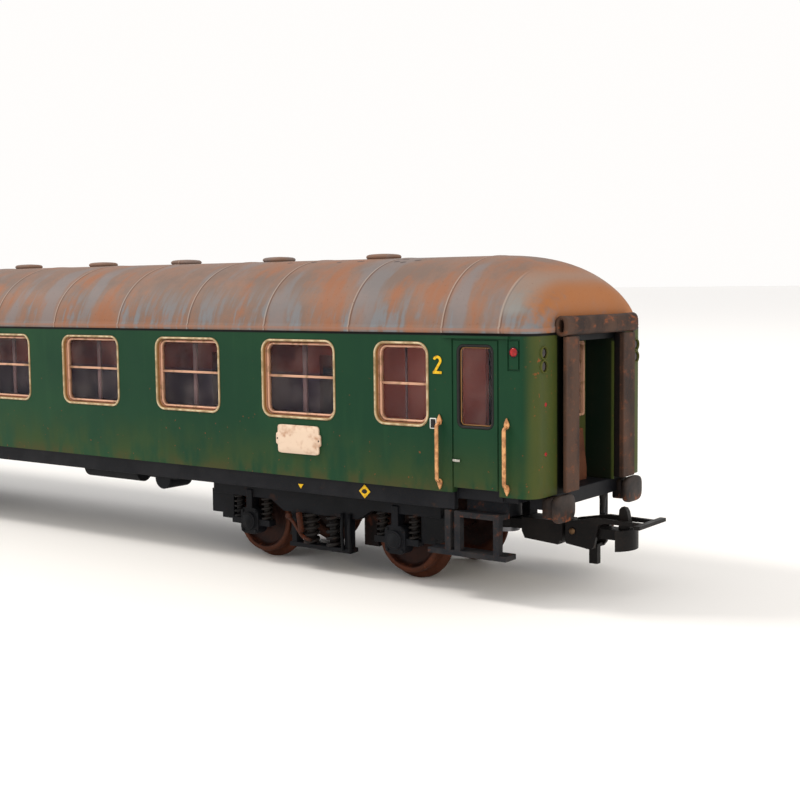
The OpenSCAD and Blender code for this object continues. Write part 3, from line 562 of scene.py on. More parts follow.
def carried(path, profile, across):
    """A profile carried along a flat path. Its first number lies across the path's plane, and its second
    along the path's normal in that plane."""
    path, across = np.array(path, float), np.array(across, float)
    ahead = np.gradient(path, axis=0)
    ahead /= np.linalg.norm(ahead, axis=1, keepdims=True)
    normal = np.cross(across, ahead)
    profile = np.array(profile)
    spots = path[:, None] + profile[None, :, :1] * across + profile[None, :, 1:] * normal[:, None]
    return spots, False, True


OUTER_FRAME = [(0, 15.3), (0, 16.24), (0.05, 16.36), (0.16, 16.4), (0.28, 16.37), (0.34, 16.27),
               (0.38, 16.0), (0.46, 15.2), (0.46, 15.0), (0, 15.0)]
SASH_FRAME = [(0.54, 15.05), (0.54, 15.55), (0.58, 15.66), (0.7, 15.7), (0.82, 15.66), (0.88, 15.55),
              (0.88, 15.05)]
PANE = [(0.47, 14.85), (0.47, 15.08), (0.52, 15.12), (2.0, 15.12)]
DOOR_PANE = [(0.3, 15.3), (0.3, 15.66), (0.4, 15.75), (2.0, 15.75)]

gilt = Finish("gilt_frames", Metallic=0.3, Specular_IOR_Level=0.4)
depth = gilt.axis("Y").size()
worn = gilt.clouds(0.8, detail=5)
gilt.ground(depth.step(15.72, 15.8), tint(206, 160, 134), tint(150, 108, 62))
gilt.coat(depth.step(16.05, 16.32), tint(172, 148, 112))
gilt.coat(worn.step(0.5, 0.68) * 0.6, tint(120, 98, 62))
# Painted highlight: a pale cream on the outermost crest of the outer frame, where it is not worn.
gilt.coat(depth.step(16.32, 16.4) * worn.step(0.55, 0.4) * 0.5, tint(228, 214, 180))
gilt.put(Roughness=0.34 + worn * 0.3)
gilt.bump(worn, 0.01, 0.4)

glass = Finish("window_glass", Alpha=0.12, Specular_IOR_Level=0.25)
haze = glass.clouds(0.25, detail=4)
glass.ground(haze.step(0.4, 0.7), tint(58, 58, 68), tint(132, 124, 124))
glass.put(Roughness=0.06 + haze * 0.06)

for side, hand in SIDES:
    frames, panes = [], []
    for x, width, share in BIG_WINDOWS + NARROW_WINDOWS:
        for profile in (OUTER_FRAME, SASH_FRAME):
            frames.append(framed(width, WINDOW_H, FRAME_R, profile, (x, WINDOW_Z), side))
        panes.append(framed(width, WINDOW_H, FRAME_R, PANE, (x, WINDOW_Z), side, ring=False))
        reach = width / 2 - 0.8
        bar_z = WINDOW_Z + (share - 0.5) * WINDOW_H
        bar = [(x + dx, side * BAR_Y, bar_z) for dx in (-reach, 0, reach)]
        frames.append(carried(bar, oval(0.14, 0.19, 4, 16), (0, side, 0)))
    for end in (-1, 1):
        panes.append(framed(*DOOR_WINDOW, DOOR_PANE, (end * DOOR_X, WINDOW_Z), side, ring=False))
    stands_for = "window_frames_" + hand
    build(stands_for + "_gilt", frames, gilt, "coach", (stands_for,))
    build("window_panes_" + hand, panes, glass, "coach", ("glazing_" + hand,), smooth=False)

# ----------------------------------------
# Entrance doors: each has a window in a rolled rubber seal with a thin bright bead inside it, a
# small latch handle, and beside it a lamp flap with a red lamp. The door itself is in the body.
# ----------------------------------------

rubber = mottled("black_rubber", 2.0, tint(18, 18, 20), tint(40, 38, 38), roughness=0.4, gain=0.25,
                 Specular_IOR_Level=0.2)
silver = mottled("silver_paint", 1.5, tint(150, 148, 142), tint(200, 198, 190), detail=3, roughness=0.3,
                 gain=0.2, Metallic=0.8)
SEAL = [(-0.02, 15.3), (-0.02, 16.22), (0.03, 16.28), (0.12, 16.3), (0.25, 16.28), (0.33, 16.2),
        (0.35, 16.0), (0.35, 15.3)]
BEAD = [(0.36, 15.7), (0.36, 15.84), (0.4, 15.9), (0.46, 15.9), (0.5, 15.84), (0.5, 15.7)]
LATCH_Z = 19.5
LATCH_FROM, LATCH_TO = 132.8, 134.0

seals = [framed(*DOOR_WINDOW, SEAL, (end * DOOR_X, WINDOW_Z), side) for end, side in CORNERS]
beads = [framed(*DOOR_WINDOW, BEAD, (end * DOOR_X, WINDOW_Z), side) for end, side in CORNERS]
build("door_window_seals", seals, rubber, "coach", ("door_seals",))
build("door_window_beads", beads, gilt, "coach")

handles = []
for end, side in CORNERS:
    lever = [(LATCH_FROM, 16.2), (LATCH_FROM, 16.42), (LATCH_FROM + 0.12, 16.5),
             ((LATCH_FROM + LATCH_TO) / 2, 16.52), (LATCH_TO, 16.5)]
    lever = [(end * x, side * y, LATCH_Z) for x, y in lever]
    handles.append(carried(lever, oval(0.17, 0.07, 3, 16), (0, 0, 1)))
build("door_latch_handles", handles, silver, "coach", ("door_handles",))

# ----------------------------------------
# Marker lamps. On a side: one flat red lens in a dark rim. On an end wall: two lamps, one above
# the other, each a sunk dark red lens, with a raised moulded lip that runs round both.
# ----------------------------------------


def turned(profile, centre, axis, steps=32):
    """A profile turned about an axis. A profile point is its radius, and how far along the axis it lies."""
    radius, along = np.array(profile, float).T[:, :, None]
    turn = np.linspace(0, 2 * math.pi, steps + 1)[:-1][None]
    one, two, three = radius * np.cos(turn), radius * np.sin(turn), along + 0 * turn
    order = {"X": (three, one, two), "Y": (one, three, two), "Z": (one, two, three)}[axis]
    return np.stack(order, axis=-1) + np.array(centre, float), False, True


def outwards(profile, hand):
    """A profile to be turned, with its distances along the axis turned to one hand."""
    return [(radius, along * hand) for radius, along in profile]


RED_LOOK = {"detail": 3, "edges": (0.35, 0.65), "roughness": 0.3, "Coat_Weight": 0.5}
red_paint = mottled("lamp_red_paint", 2.5, tint(130, 14, 16), tint(168, 18, 20), **RED_LOOK)
dark_red = mottled("lamp_dark_red", 2.5, tint(3, 2, 2), tint(30, 6, 5), **RED_LOOK)
FLAP_LENS = [(0.02, 0.13), (0.4, 0.12), (0.58, 0.07), (0.6, -0.1)]
FLAP_RIM = [(0.58, -0.1), (0.59, 0.08), (0.64, 0.12), (0.7, 0.08), (0.72, -0.1), (0.58, -0.1)]
RED_DOT = [(0.02, 0.1), (0.25, 0.07), (0.34, -0.05)]
END_LENS = [(0.02, 0.03), (0.4, 0.03), (0.7, 0.0), (0.74, -0.3)]
END_LIP = [(0.72, -0.2), (0.73, 0.14), (0.79, 0.24), (0.87, 0.22), (0.93, 0.1), (0.96, -0.2)]

flap_lenses, flap_rims, end_lenses, end_lips, red_dots = [], [], [], [], []
for end, side in CORNERS:
    spot = (end * (HALF_L - 3.05), side * 16.24, SEAM - 2.3)
    flap_lenses.append(turned(outwards(FLAP_LENS, side), spot, "Y"))
    flap_rims.append(turned(outwards(FLAP_RIM, side), spot, "Y"))
    for z in (27.45, 20.8):
        red_dots.append(turned(outwards(RED_DOT, end), (end * HALF_L, side * 13.1, z), "X", 16))
    for z in (SEAM - 2.45, SEAM - 4.25):
        spot = (end * HALF_L, side * 13.6, z)
        end_lenses.append(turned(outwards(END_LENS, end), spot, "X"))
        end_lips.append(turned(outwards(END_LIP, end), spot, "X"))
build("side_lamp_lenses", flap_lenses, red_paint, "coach", ("lamps",))
build("side_lamp_rims", flap_rims, rubber, "coach", cap=False)
build("end_wall_red_dots", red_dots, red_paint, "coach")
build("end_lamp_lenses", end_lenses, dark_red, "coach")
# The lips take the olive of the end walls in full: partly grime, partly painted warm light.
build("end_lamp_lips", end_lips, weathered_green("lip_green", 0.9), "coach")

# ----------------------------------------
# End doors, one in each gangway recess: an olive moulding with two tall round-ended panes in gilt
# frames. A folded bridge plate of brown, rusted sheet stands before it.
# ----------------------------------------

door_paint = Finish("end_door_olive")
door_side, door_dirt = door_paint.axis("Y"), door_paint.clouds(0.4, (1, 1, 0.4), detail=5)
door_paint.ground(door_side.size().step(2.6, 3.0), tint(16, 32, 22), tint(66, 72, 38))
door_paint.coat(door_dirt.step(0.45, 0.75) * 0.6, tint(58, 48, 30))
door_paint.put(Roughness=0.5 + door_dirt * 0.2)
for _, name in ENDS:
    stands_for = "end_door_" + name
    softened(stands_for + "_moulding", stands_for, door_paint, "coach", edge=0.08)
softened("end_door_panes", "end_panes", glass, "coach", edge=0.05)
softened("end_door_frames", "end_pane_frames", gilt, "coach", edge=0.08)


bridge_sheet = stained("rusty_bridge_sheet", tint(62, 40, 32), tint(92, 58, 42), tint(140, 78, 48), 0.6,
                       0.6)
softened("bridge_sheets", "bridge_plates", bridge_sheet, "coach", edge=0.08)

# ----------------------------------------
# Gangway rubbers: a hollow tube lies over each gangway, open at both ends, with a thick rolled
# rim. Two upright rolls stand under it, each with an L-shaped section. Brown-black, with rust.
# ----------------------------------------

gangway_rubber = Finish("gangway_rubber")
rubber_out, rubber_up = gangway_rubber.axis("X").size(), gangway_rubber.axis("Z")
rubber_cloud = gangway_rubber.clouds(0.2, (1, 1, 0.5), detail=5)
rubber_rust = gangway_rubber.clouds(0.75, (1, 0.55, 1), detail=8, shift=13, rough=0.72)
rubber_fine = gangway_rubber.clouds(3.0, detail=3, shift=33)
gangway_rubber.ground(rubber_cloud.step(0.36, 0.64), tint(46, 37, 34), tint(76, 56, 46))
rust_place = rubber_rust.step(0.52, 0.7) * (0.3 + rubber_up.step(36, 38.4) * 0.5)
gangway_rubber.coat(rust_place, tint(150, 82, 44))
gangway_rubber.coat(rubber_fine.step(0.55, 0.75) * 0.3, tint(110, 74, 54))
shaded = rubber_out.step(HALF_L + 1.05, HALF_L + 0.85) * rubber_up.step(36.4, 36.2)
gangway_rubber.coat(shaded * 0.92, tint(8, 9, 12))
gangway_rubber.put(Roughness=0.5 + rubber_fine * 0.25)
gangway_rubber.bump(rubber_fine + rubber_rust * 0.6, 0.02, 0.6)
TUBE_X, TUBE_Z, TUBE_REACH = HALF_L + 0.95, 37.8, 10.8
TUBE_WALL = [(0.0, 0.35), (0.06, 0.1), (0.2, 0.0), (0.38, 0.0), (0.5, 0.1), (0.55, 0.35)]


def gangway_tube(end):
    """A tube of oval section along Y. The profile runs along its outside, round the rolled rim, back
    inside and round the other rim; a point is its depth below the outside, and its place along the tube."""
    depth, back = np.array(TUBE_WALL).T
    outside = np.linspace(-TUBE_REACH + 0.8, TUBE_REACH - 0.8, 9)
    inside = np.linspace(TUBE_REACH - 2, 2 - TUBE_REACH, 5)
    depth = np.concatenate([0 * outside, depth, depth.max() + 0 * inside, depth[::-1]])
    along = np.concatenate([outside, TUBE_REACH - back, inside, back[::-1] - TUBE_REACH])
    swell = 1 - 0.06 * np.clip(1 - (np.abs(along) - 9.4) / 0.9, 0, 1) + 0.012 * np.sin(along * 1.3)
    turn = np.linspace(0, 2 * math.pi, 41)[:-1]
    x = end * (TUBE_X + (0.95 * swell - depth)[:, None] * bowed(np.cos(turn), 2.5))
    z = TUBE_Z + (1.4 * swell - depth)[:, None] * bowed(np.sin(turn), 2.5)
    return np.stack([x, np.broadcast_to(along[:, None], x.shape), z], axis=-1), True, True


for end, name in ENDS:
    stands_for = "gangway_tube_" + name
    tube = [gangway_tube(end)]
    build(stands_for + "_rubber", tube, gangway_rubber, "coach", (stands_for,))
    softened("gangway_rolls_" + name, "gangway_pillars_" + name, gangway_rubber, "coach",
             edge=0.18, segments=3)

# ----------------------------------------
# The interior: one brown moulding with floor, corridor wall, compartment walls and benches. A
# steel ballast plate lies in its floor.
# ----------------------------------------


def dressed(node, finish):
    """Gives a kept CAD node its finish."""
    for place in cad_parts[node].material_slots:
        place.material = finish.material


room = Finish("interior_plastic", roughness=0.6)
room_height = room.axis("Z")
room_tone = room.clouds(0.12, detail=3)
room.ground(room_tone.step(0.38, 0.62), tint(118, 58, 52), tint(160, 82, 70))
big = room.axis("X").size().step(115, 113)
room.coat(room_height.step(30.4, 29.4) * big * 0.85, tint(70, 74, 90))
room.coat((1 - big) * 0.85, tint(226, 122, 104))

post_plastic = mottled("post_plastic", 0.5, tint(96, 72, 76), tint(140, 112, 112), detail=3, roughness=0.4)
POSTS = [(x - 0.9, 0.4) for x, _, _ in BIG_WINDOWS] + [(end * 122.9, 0.12) for end in (-1, 1)]
POST_Y = 13.4
posts = []
for side, _ in SIDES:
    for x, wide in POSTS:
        line = [(x, side * POST_Y, z) for z in (17, 26, 36.2)]
        posts.append(carried(line, oval(wide, 0.2, 5, 16), (1, 0, 0)))
build("compartment_posts", posts, post_plastic, "coach")
dressed("interior", room)

steel = stained("dull_steel", tint(120, 120, 124), tint(150, 150, 152), tint(96, 84, 74), 0.3, 0.4,
                Metallic=0.9)
for node in ("ballast_weight", "coupler_screws", "bogie_pin_front", "bogie_pin_rear"):
    dressed(node, steel)

# ----------------------------------------
# Grab rails: gilt bars beside each entrance door. A rail stands off the side, turns in at both
# ends, and is riveted on by small leaf-shaped feet that point up at the top and down below.
# ----------------------------------------

rail_gilt = Finish("rail_gilt", Metallic=0.3, Specular_IOR_Level=0.6)
rail_wear = rail_gilt.clouds(1.2, detail=4)
rail_gilt.ground(rail_wear.step(0.4, 0.62), tint(214, 158, 104), tint(170, 116, 72))
rail_gilt.coat(rail_wear.step(0.6, 0.7) * 0.7, tint(110, 72, 46))
rail_gilt.put(Roughness=0.36 + rail_wear * 0.25)


def eased(points, reach, steps=5):
    """A path with its corners rounded: near each corner it follows a parabola between two points that lie
    a reach away from it along both sides."""
    points = np.array(points, float)
    t = np.linspace(0, 1, steps)[:, None]
    parts = [points[:1]]
    for before, corner, after in zip(points[:-2], points[1:-1], points[2:]):
        start = corner + (before - corner) / np.linalg.norm(before - corner) * reach
        stop = corner + (after - corner) / np.linalg.norm(after - corner) * reach
        parts.append((1 - t) ** 2 * start + 2 * t * (1 - t) * corner + t**2 * stop)
    parts.append(points[-1:])
    return np.concatenate(parts)


def leaf(centre, side, point):
    """A leaf-shaped foot: a diamond with bowed edges on the wall, its tip longer on one side and its rim
    thin."""
    turn = np.linspace(0, 2 * math.pi, 33)[:-1]
    across, upright = 0.42 * np.cos(turn), 0.62 * np.sin(turn)
    upright = np.where(upright * point > 0, upright * 1.5, upright * 0.9)
    across = across * (1 - 0.55 * np.clip(upright * point / 0.9, 0, 1) ** 1.2)
    share = np.array([1, 1, 0.8, 0.45, 0.03])[:, None]
    out = np.array([0, 0.16, 0.26, 0.34, 0.36])[:, None]
    spots = np.stack([share * across, side * (out + 0 * turn), share * upright], axis=-1)
    return spots + np.array(centre), False, True


RAIL_TOP, RAIL_FOOT = 24.8, 16.2
rails = []
for end, side in CORNERS:
    for x in (HALF_L - 14.9, HALF_L - 4.05):
        near, far = HALF_W + 0.05, HALF_W + 0.76
        route = [(near, RAIL_TOP - 0.15), (far, RAIL_TOP - 0.6), (far, RAIL_FOOT + 0.5),
                 (near, RAIL_FOOT + 0.1)]
        path = eased([(end * x, side * y, z) for y, z in route], 0.3)
        rails.append(carried(path, oval(0.27, 0.2, 3, 16), (1, 0, 0)))
        for z, point in ((RAIL_TOP, 1), (RAIL_FOOT, -1)):
            rails.append(leaf((end * x, side * (HALF_W - 0.05), z), side, point))
build("grab_rails", rails, rail_gilt, "coach", ("handrails",))

# ----------------------------------------
# Printed and glued signs: a cream destination board with a small eared screw plate at each end, a
# yellow class number, a small pictogram by the rail, and yellow marks on the solebar. All blank.
# ----------------------------------------

cream = mottled("board_cream", 0.7, tint(222, 198, 176), tint(176, 132, 104), 5, (0.45, 0.75), 0.55)
yellow = mottled("sign_yellow", 2.0, tint(226, 182, 40), tint(170, 120, 36), 4, (0.5, 0.75), 0.45)
white = mottled("sign_white", 2.0, tint(220, 222, 216), tint(130, 136, 124), 4, (0.45, 0.8), 0.5)


def pressed(outline, levels, centre, side, hand=1):
    """A plate on a side wall, from an outline in X and Z: each level is a share of it, and how far out."""
    share, out = np.array(levels, float).T[:, :, None]
    x, z = hand * share * outline[None, :, 0], share * outline[None, :, 1]
    return np.stack([x, side * (out + 0 * x), z], axis=-1) + np.array(centre), False, True


def board(centre, side):
    """A plate with an outline of two rounded rectangles: a tall one, and a lower one that is a little
    wider, which gives it an ear at each end. The larger reach of the two counts at each angle."""
    turn = np.linspace(0, 2 * math.pi, 193)[:-1]
    c, s = np.abs(np.cos(turn)), np.abs(np.sin(turn))
    tall = ((c / 4.0) ** 14 + (s / 2.15) ** 14) ** (-1 / 14)
    wide = ((c / 4.35) ** 10 + (s / 0.95) ** 10) ** (-1 / 10)
    reach = np.maximum(tall, wide)
    outline = np.stack([reach * np.cos(turn), reach * np.sin(turn)], axis=1)
    return pressed(outline, [(1, -0.1), (1, 0.18), (0.985, 0.22), (0.5, 0.23), (0.01, 0.23)], centre, side)


boards, board_screws = [], []
for end, side in CORNERS:
    x, y, z = end * 104.95, side * HALF_W, 20.65
    boards.append(board((x, y, z), side))
    for dx in (-4.05, 4.05):
        screw = outwards([(0.01, 0.245), (0.12, 0.245), (0.16, 0.2)], side)
        board_screws.append(turned(screw, (x + dx, y, z), "Y", 12))
build("destination_boards_cream", boards, cream, "coach", ("destination_boards",))
build("destination_board_screws", board_screws, rubber, "coach")


def flat_sign(outline, centre, side, thick=0.06):
    """A thin printed plate, drawn together to its middle on its face."""
    levels = [(1, -0.03), (1, thick * 0.8), (0.97, thick), (0.01, thick)]
    return pressed(outline, levels, centre, side, -side)


def numeral_two(centre, side):
    """The figure 2: a flat stroke carried round the upper half of a bowl and down its slope, and a second
    one along its foot."""
    turn = np.radians(np.linspace(165, -28, 22))
    bowl = np.stack([0.52 * np.cos(turn), 0.62 + 0.5 * np.sin(turn)], axis=1)
    slope = np.linspace(bowl[-1], (-0.5, -1.02), 8)[1:]
    path = np.concatenate([bowl, slope])
    foot = np.array([(-0.72, -1.02), (0.0, -1.02), (0.72, -1.02)])
    strokes = []
    for line in (path, foot):
        spots = np.stack([-side * line[:, 0], 0 * line[:, 0], line[:, 1]], axis=1) + np.array(centre)
        strokes.append(carried(spots, oval(0.045, 0.19, 6, 16), (0, side, 0)))
    return strokes


def corners(*places):
    """An outline through its corners, with points between them so that it stays straight."""
    places = np.array(places, float)
    t = np.linspace(0, 1, 6)[:-1, None]
    return np.concatenate([a + (b - a) * t for a, b in zip(places, np.roll(places, -1, 0))])


SOLEBAR_Y = 15.6
DIAMOND = corners((1.02, 0), (0, 1.02), (-1.02, 0), (0, -1.02))
ARROW = corners((0.5, 0.3), (-0.5, 0.3), (0, -0.4))
numerals, pictogram_white, pictogram_black, marks, mark_centres = [], [], [], [], []
for end, side in CORNERS:
    numerals += numeral_two((end * 130.3, side * HALF_W, 32.5), side)
    spot = (end * 129.55, side * HALF_W, 24.4)
    pictogram_white.append(flat_sign(oval(0.55, 0.75, 12, 40), spot, side))
    pictogram_black.append(flat_sign(oval(0.42, 0.62, 12, 40), spot, side, 0.08))
    spot = (end * 116.8, side * SOLEBAR_Y, 13.72)
    marks.append(flat_sign(DIAMOND, spot, side, 0.1))
    mark_centres.append(flat_sign(oval(0.5, 0.34, 2, 24), spot, side, 0.12))
    marks.append(flat_sign(ARROW, (end * 104.6, side * SOLEBAR_Y, 13.5), side, 0.1))
build("class_numerals", numerals, yellow, "coach")
build("pictogram_borders", pictogram_white, white, "coach")
build("pictogram_fields", pictogram_black, rubber, "coach")
build("solebar_marks", marks, yellow, "coach")
build("solebar_mark_centres", mark_centres, rubber, "coach")

# ----------------------------------------
# The underframe and the gear below it: floor, solebars and headstocks in one black moulding, with
# battery boxes, air reservoirs and steps clipped on. Dusted with brown; the steps have rough treads.
# ----------------------------------------

chassis_black = stained("chassis_black", tint(16, 18, 23), tint(26, 27, 31), tint(52, 38, 30), 0.25, 0.5)
gear_black = stained("gear_black", tint(9, 11, 15), tint(18, 20, 24), tint(44, 32, 26), 0.25, 0.55)
step_grey = stained("step_grey", tint(26, 29, 34), tint(44, 43, 44), tint(98, 56, 38), 0.5, 0.7, 1.6)
softened("underframe_moulding", "underframe", chassis_black, "coach", edge=0.1)
softened("battery_box_covers", "battery_boxes", gear_black, "coach", edge=0.15)
softened("air_reservoirs", "air_tanks", gear_black, "coach", edge=0.15)
for _, name in ENDS:
    softened("entrance_steps_" + name, "steps_" + name, step_grey, "coach", edge=0.1)

# ----------------------------------------
# Buffers and brake hoses: each buffer is a square socket, a square plunger and a wide head with
# rounded corners, rusted low down. A stub of brake hose hangs beside each coupler.
# ----------------------------------------

BUFFER_Y, BUFFER_Z = 10.3, 13.2
HEAD = [(0.02, 0.7), (0.55, 0.7), (0.97, 0.82), (1.0, 0.95), (1.0, 1.3), (0.97, 1.45), (0.88, 1.54),
        (0.5, 1.59), (0.02, 1.6)]
PLUNGER = [(0.02, 0.1), (1, 0.1), (1, 0.78), (0.02, 0.78)]
SOCKET = [(0.02, -1.3), (1, -1.3), (1, 0.08), (0.92, 0.18), (0.02, 0.2)]
HOSE = [(0.02, 12.96), (0.55, 12.95), (0.55, 12.3), (0.42, 11.9), (0.36, 11.0), (0.3, 10.4), (0.26, 10.05),
        (0.02, 10.0)]


def faced(outline, levels, middle, end):
    """An outline stacked outwards from an end wall: each level is a share of the outline, and a distance."""
    across, up, out = np.moveaxis(layered(outline, levels)[0], -1, 0)
    return np.stack([end * (HALF_L + out), across + middle[0], up + middle[1]], axis=-1), False, True


buffer_brown = Finish("buffer_brown")
buffer_tone = buffer_brown.clouds(0.4, detail=5, shift=4)
buffer_rust = buffer_brown.clouds(1.1, detail=7, shift=60, rough=0.7)
buffer_worn = buffer_brown.clouds(0.45, detail=6, shift=17)
buffer_fine = buffer_brown.clouds(4.0, detail=3, shift=33)
buffer_brown.ground(buffer_tone.step(0.35, 0.65), tint(34, 30, 30), tint(54, 45, 41))
low_rust = buffer_brown.axis("Z").step(13.4, 11.3) * buffer_rust.step(0.5, 0.64)
buffer_brown.coat(low_rust * 0.8, tint(140, 76, 40))
buffer_brown.put(Roughness=0.35 + buffer_worn * 0.25)
buffer_brown.bump(buffer_fine + buffer_worn * 0.4, 0.015, 0.6)
for end, name in ENDS:
    heads = []
    for side in (-1, 1):
        spot = (side * BUFFER_Y, BUFFER_Z)
        heads.append(faced(oval(2.8, 1.9, 3.4, 56), HEAD, spot, end))
        heads.append(faced(oval(1.1, 1.1, 7, 40), PLUNGER, spot, end))
        heads.append(faced(oval(1.5, 1.5, 7, 40), SOCKET, spot, end))
    build("buffer_heads_" + name, heads, buffer_brown, "coach", ("buffers_" + name,))

hose_parts = [turned(HOSE, (end * (HALF_L - 1.3), 5.8, 0), "Z", 20) for end in (-1, 1)]
build("brake_hoses", hose_parts, rubber, "coach", ("hoses",))

# ----------------------------------------
# Couplers: a black plastic arm that swings on a screw, with its pocket, hook and curved shield. The
# lifting loop swings up on a cross pin whose bronze end shows in each cheek.
# ----------------------------------------

coupler_plastic = stained("coupler_plastic", tint(15, 14, 15), tint(28, 25, 24), tint(66, 44, 32), 0.25, 0.42)
bronze = stained("pin_bronze", tint(96, 74, 54), tint(120, 92, 66), tint(60, 44, 34), 0.3, 0.35, Metallic=0.8)
PIN_END = [(0.01, 0.1), (0.35, 0.08), (0.48, 0.0), (0.48, -0.3)]
for end, name in ENDS:
    swing = "swing_" + name
    softened("coupler_arm_" + name, "coupler_" + name, coupler_plastic, swing, edge=0.1)
    softened("coupler_loop_arms_" + name, "coupler_loop_" + name, coupler_plastic, "loop_" + name,
             edge=0.08)
    cross_pin = end * (HALF_L - 2)
    pins = [turned(outwards(PIN_END, side), (cross_pin, side * 2.3, 8.5), "Y", 24) for side in (-1, 1)]
    build("coupler_pin_ends_" + name, pins, bronze, swing)

# ----------------------------------------
# Bogies: a black moulded frame with axle boxes, steel coil springs over each box and at the
# bolster, hanger links, dampers and brake blocks beside the wheels. Rust collects low down.
# ----------------------------------------

BOGIE_X, HALF_BASE, AXLE_Z = 106.1, 14.35, 6.6
BOX_FACE = 13.8
bogie_black = stained("bogie_black", tint(6, 8, 12), tint(15, 17, 22), tint(50, 30, 22), 0.35, 0.5)
spring_steel = stained("spring_steel", tint(16, 16, 18), tint(32, 29, 28), tint(60, 36, 26), 0.4, 0.45)
block_iron = stained("block_iron", tint(16, 12, 12), tint(34, 22, 18), tint(78, 40, 26), 0.4, 0.6)
brake_rust = stained("brake_rust", tint(34, 22, 18), tint(64, 36, 26), tint(150, 68, 34), 0.6, 0.6)


def coil(centre, radius, wire, low, high, turns):
    """A coil spring: a wire's circle carried up a helix, whose end turns lie nearly flat."""
    share = np.linspace(0, 1, int(turns * 18) + 1)
    rest = 0.6 / turns
    rise = np.clip((share - rest) / (1 - 2 * rest), 0, 1)
    angle = (2 * math.pi * turns * share)[:, None]
    ring = np.linspace(0, 2 * math.pi, 9)[:-1][None]
    out = radius - wire + wire * np.cos(ring)
    z = low + wire + (high - low - 2 * wire) * rise[:, None] + 0.9 * wire * (share[:, None] * 2 - 1)
    z = z + wire * np.sin(ring)
    spots = np.stack([out * np.cos(angle), out * np.sin(angle), z], axis=-1)
    return spots + np.array([centre[0], centre[1], 0]), False, True


def spring(spot, radius, wire, core, low, high):
    """A coil spring with the moulded core inside it."""
    inner = [(0.02, low - 0.05), (core, low - 0.03), (core, high - 0.02), (0.02, high)]
    return [coil(spot, radius, wire, low, high, COIL_TURNS), turned(inner, spot + (0,), "Z", 16)]


COIL_TURNS = 5.5
DAMPER_CAP = [(0.02, 0.35), (0.4, 0.33), (0.5, 0.2), (0.5, -0.3)]
BOX_COVER = [(0.02, 0.32), (0.45, 0.3), (0.6, 0.12), (1.02, 0.1), (1.12, 0.0), (1.12, -0.2)]
BOLT = [(0.01, 0.22), (0.22, 0.2), (0.28, 0.1), (0.28, -0.2)]
BOLTS = [(dx, dz) for dx in (-1.35, 1.35) for dz in (-1.55, 1.55)]
# The damper's bent arm and its sleeve, and a hanger link, each as places along, out and up
ARM = [(-1.2, 13.9, 8.2), (0, 13.95, 7.3), (1.6, 13.9, 5.2), (3.2, 13.8, 4.9)]
SLEEVE = [(0.9, 13.9, 9.0), (1.15, 13.95, 7.6), (1.4, 13.9, 6.0)]
LINK = [(0, 13.35, 9.6), (0, 13.55, 7), (0, 13.35, 3.9)]

for end, name in ENDS:
    body = "bogie_" + name
    middle = end * BOGIE_X
    stands_for = "bogie_frame_" + name
    softened(stands_for + "_moulding", stands_for, bogie_black, body, edge=0.14)
    softened("bogie_brake_blocks_" + name, "bogie_brakes_" + name, block_iron, body, edge=0.1)
    springs, dampers, links, covers = [], [], [], []
    for side in (-1, 1):
        for axle in (-1, 1):
            for dx in (-2.9, 2.9):
                springs += spring((middle + axle * HALF_BASE + dx, side * 12.3), 0.95, 0.2, 0.5, 6.95, 10.4)
        for dx in (-2.24, 2.24):
            springs += spring((middle + dx, side * 12.4), 1.3, 0.26, 0.7, 4.25, 8.8)
        foot = middle - end * 4.4
        arm = eased([(foot + end * dx, side * y, z) for dx, y, z in ARM], 0.8)
        sleeve = [(foot + end * dx, side * y, z) for dx, y, z in SLEEVE]
        dampers.append(carried(arm, oval(0.3, 0.24, 2.5, 16), (0, side, 0)))
        dampers.append(carried(sleeve, oval(0.5, 0.4, 2.2, 20), (0, side, 0)))
        dampers.append(turned(outwards(DAMPER_CAP, side), (foot - end * 1.2, side * 13.9, 8.25), "Y", 20))
        for dx in (4.6, 6.0):
            line = [(middle + end * dx, side * y, z) for _, y, z in LINK]
            links.append(carried(line, oval(0.24, 0.22, 3, 12), (1, 0, 0)))
        for axle in (-1, 1):
            hub = (middle + axle * HALF_BASE, side * BOX_FACE, AXLE_Z)
            covers.append(turned(outwards(BOX_COVER, side), hub, "Y", 32))
            for dx, dz in BOLTS:
                bolt = (hub[0] + dx, side * (BOX_FACE - 0.4), AXLE_Z + dz)
                covers.append(turned(outwards(BOLT, side), bolt, "Y", 6))
    build("axle_box_covers_" + name, covers, gear_black, body)
    build("bogie_dampers_" + name, dampers, brake_rust, body)
    build("bogie_hanger_links_" + name, links, bogie_black, body)
    stands_for = "bogie_springs_" + name
    build("bogie_coil_springs_" + name, springs, spring_steel, body, (stands_for,))

# ----------------------------------------
# Wheelsets: turned disc wheels pressed on a steel axle. The tread is worn bright, the rest of a
# wheel is painted a rust brown, with a dark ring where the disc meets the rim.
# ----------------------------------------

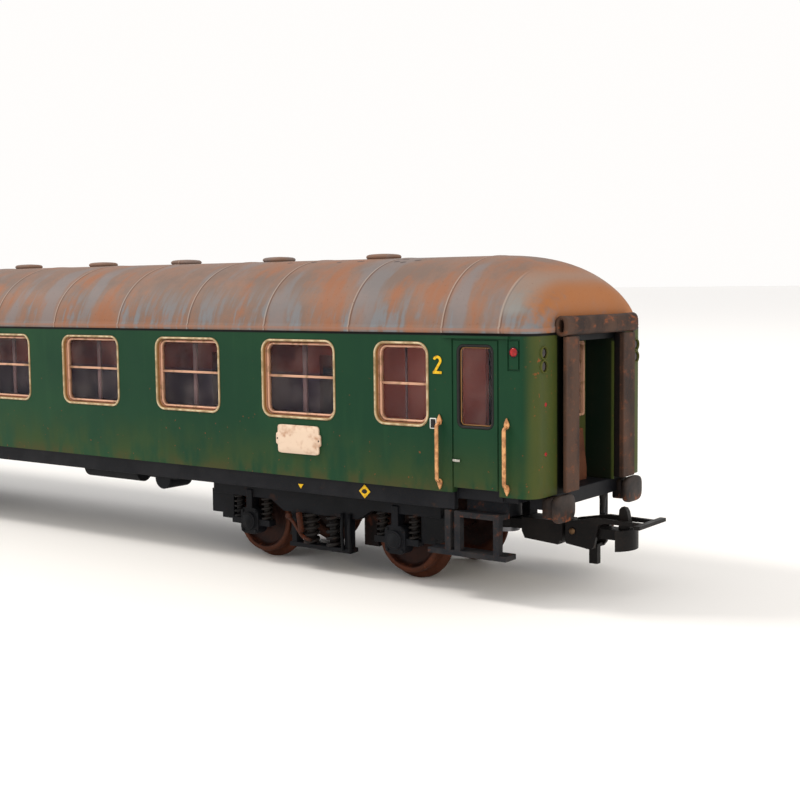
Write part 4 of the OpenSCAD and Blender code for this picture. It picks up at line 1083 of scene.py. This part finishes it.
AXLE = [(0.02, -12.6), (0.7, -12.55), (0.9, -12.3), (0.9, 12.3), (0.7, 12.55), (0.02, 12.6)]
WHEEL_BACK = 7.2
WHEEL = [(0.8, 0), (1.6, 0.0), (1.75, 0.25), (2.4, 0.42), (4.2, 0.42), (4.5, 0.3), (4.7, 0.0), (6.2, 0.0),
         (6.42, 0.06), (6.56, 0.2), (6.6, 0.38), (6.54, 0.56), (6.2, 0.76), (5.75, 0.92), (5.55, 1.1),
         (5.5, 1.4), (5.47, 2.5), (5.4, 2.66), (5.2, 2.78), (4.75, 2.8), (4.62, 2.72), (4.5, 2.3),
         (4.3, 1.95), (4.0, 1.82), (2.4, 1.86), (1.95, 1.95), (1.75, 2.3), (1.6, 2.72), (1.5, 2.8), (0.8, 2.8)]
wheel_finish = Finish("wheel_rust", Metallic=0.25)
wheel_tone = wheel_finish.clouds(0.35, detail=5)
wheel_fine = wheel_finish.clouds(2.0, detail=3, shift=9)
wheel_finish.ground(wheel_tone.step(0.38, 0.62), tint(40, 22, 18), tint(72, 38, 27))
wheel_finish.coat(wheel_fine.step(0.55, 0.75) * 0.6, tint(112, 60, 38))
off_x = (wheel_finish.axis("X").size() - BOGIE_X).size() - HALF_BASE
off_z = wheel_finish.axis("Z") - AXLE_Z
ring = off_x * off_x + off_z * off_z
wheel_finish.coat(ring.step(21, 17) * 0.7, tint(30, 22, 21))
wheel_finish.coat(ring.step(21, 24) * 0.5, tint(84, 47, 30))
wheel_finish.put(Roughness=0.38 + wheel_tone * 0.3)
wheel_finish.bump(wheel_fine, 0.01, 0.5)
for number, (end, axle) in enumerate(((1, 1), (1, -1), (-1, -1), (-1, 1)), 1):
    place = (end * (BOGIE_X + axle * HALF_BASE), 0, AXLE_Z)
    wheel = [(radius, WHEEL_BACK + along) for radius, along in WHEEL]
    parts = [turned(outwards(wheel, side), place, "Y", 72) for side in (-1, 1)]
    parts.append(turned(AXLE, place, "Y", 32))
    stands_for = "wheelset_%d" % number
    build(stands_for + "_turned", parts, wheel_finish, "wheels_%d" % number, (stands_for,))
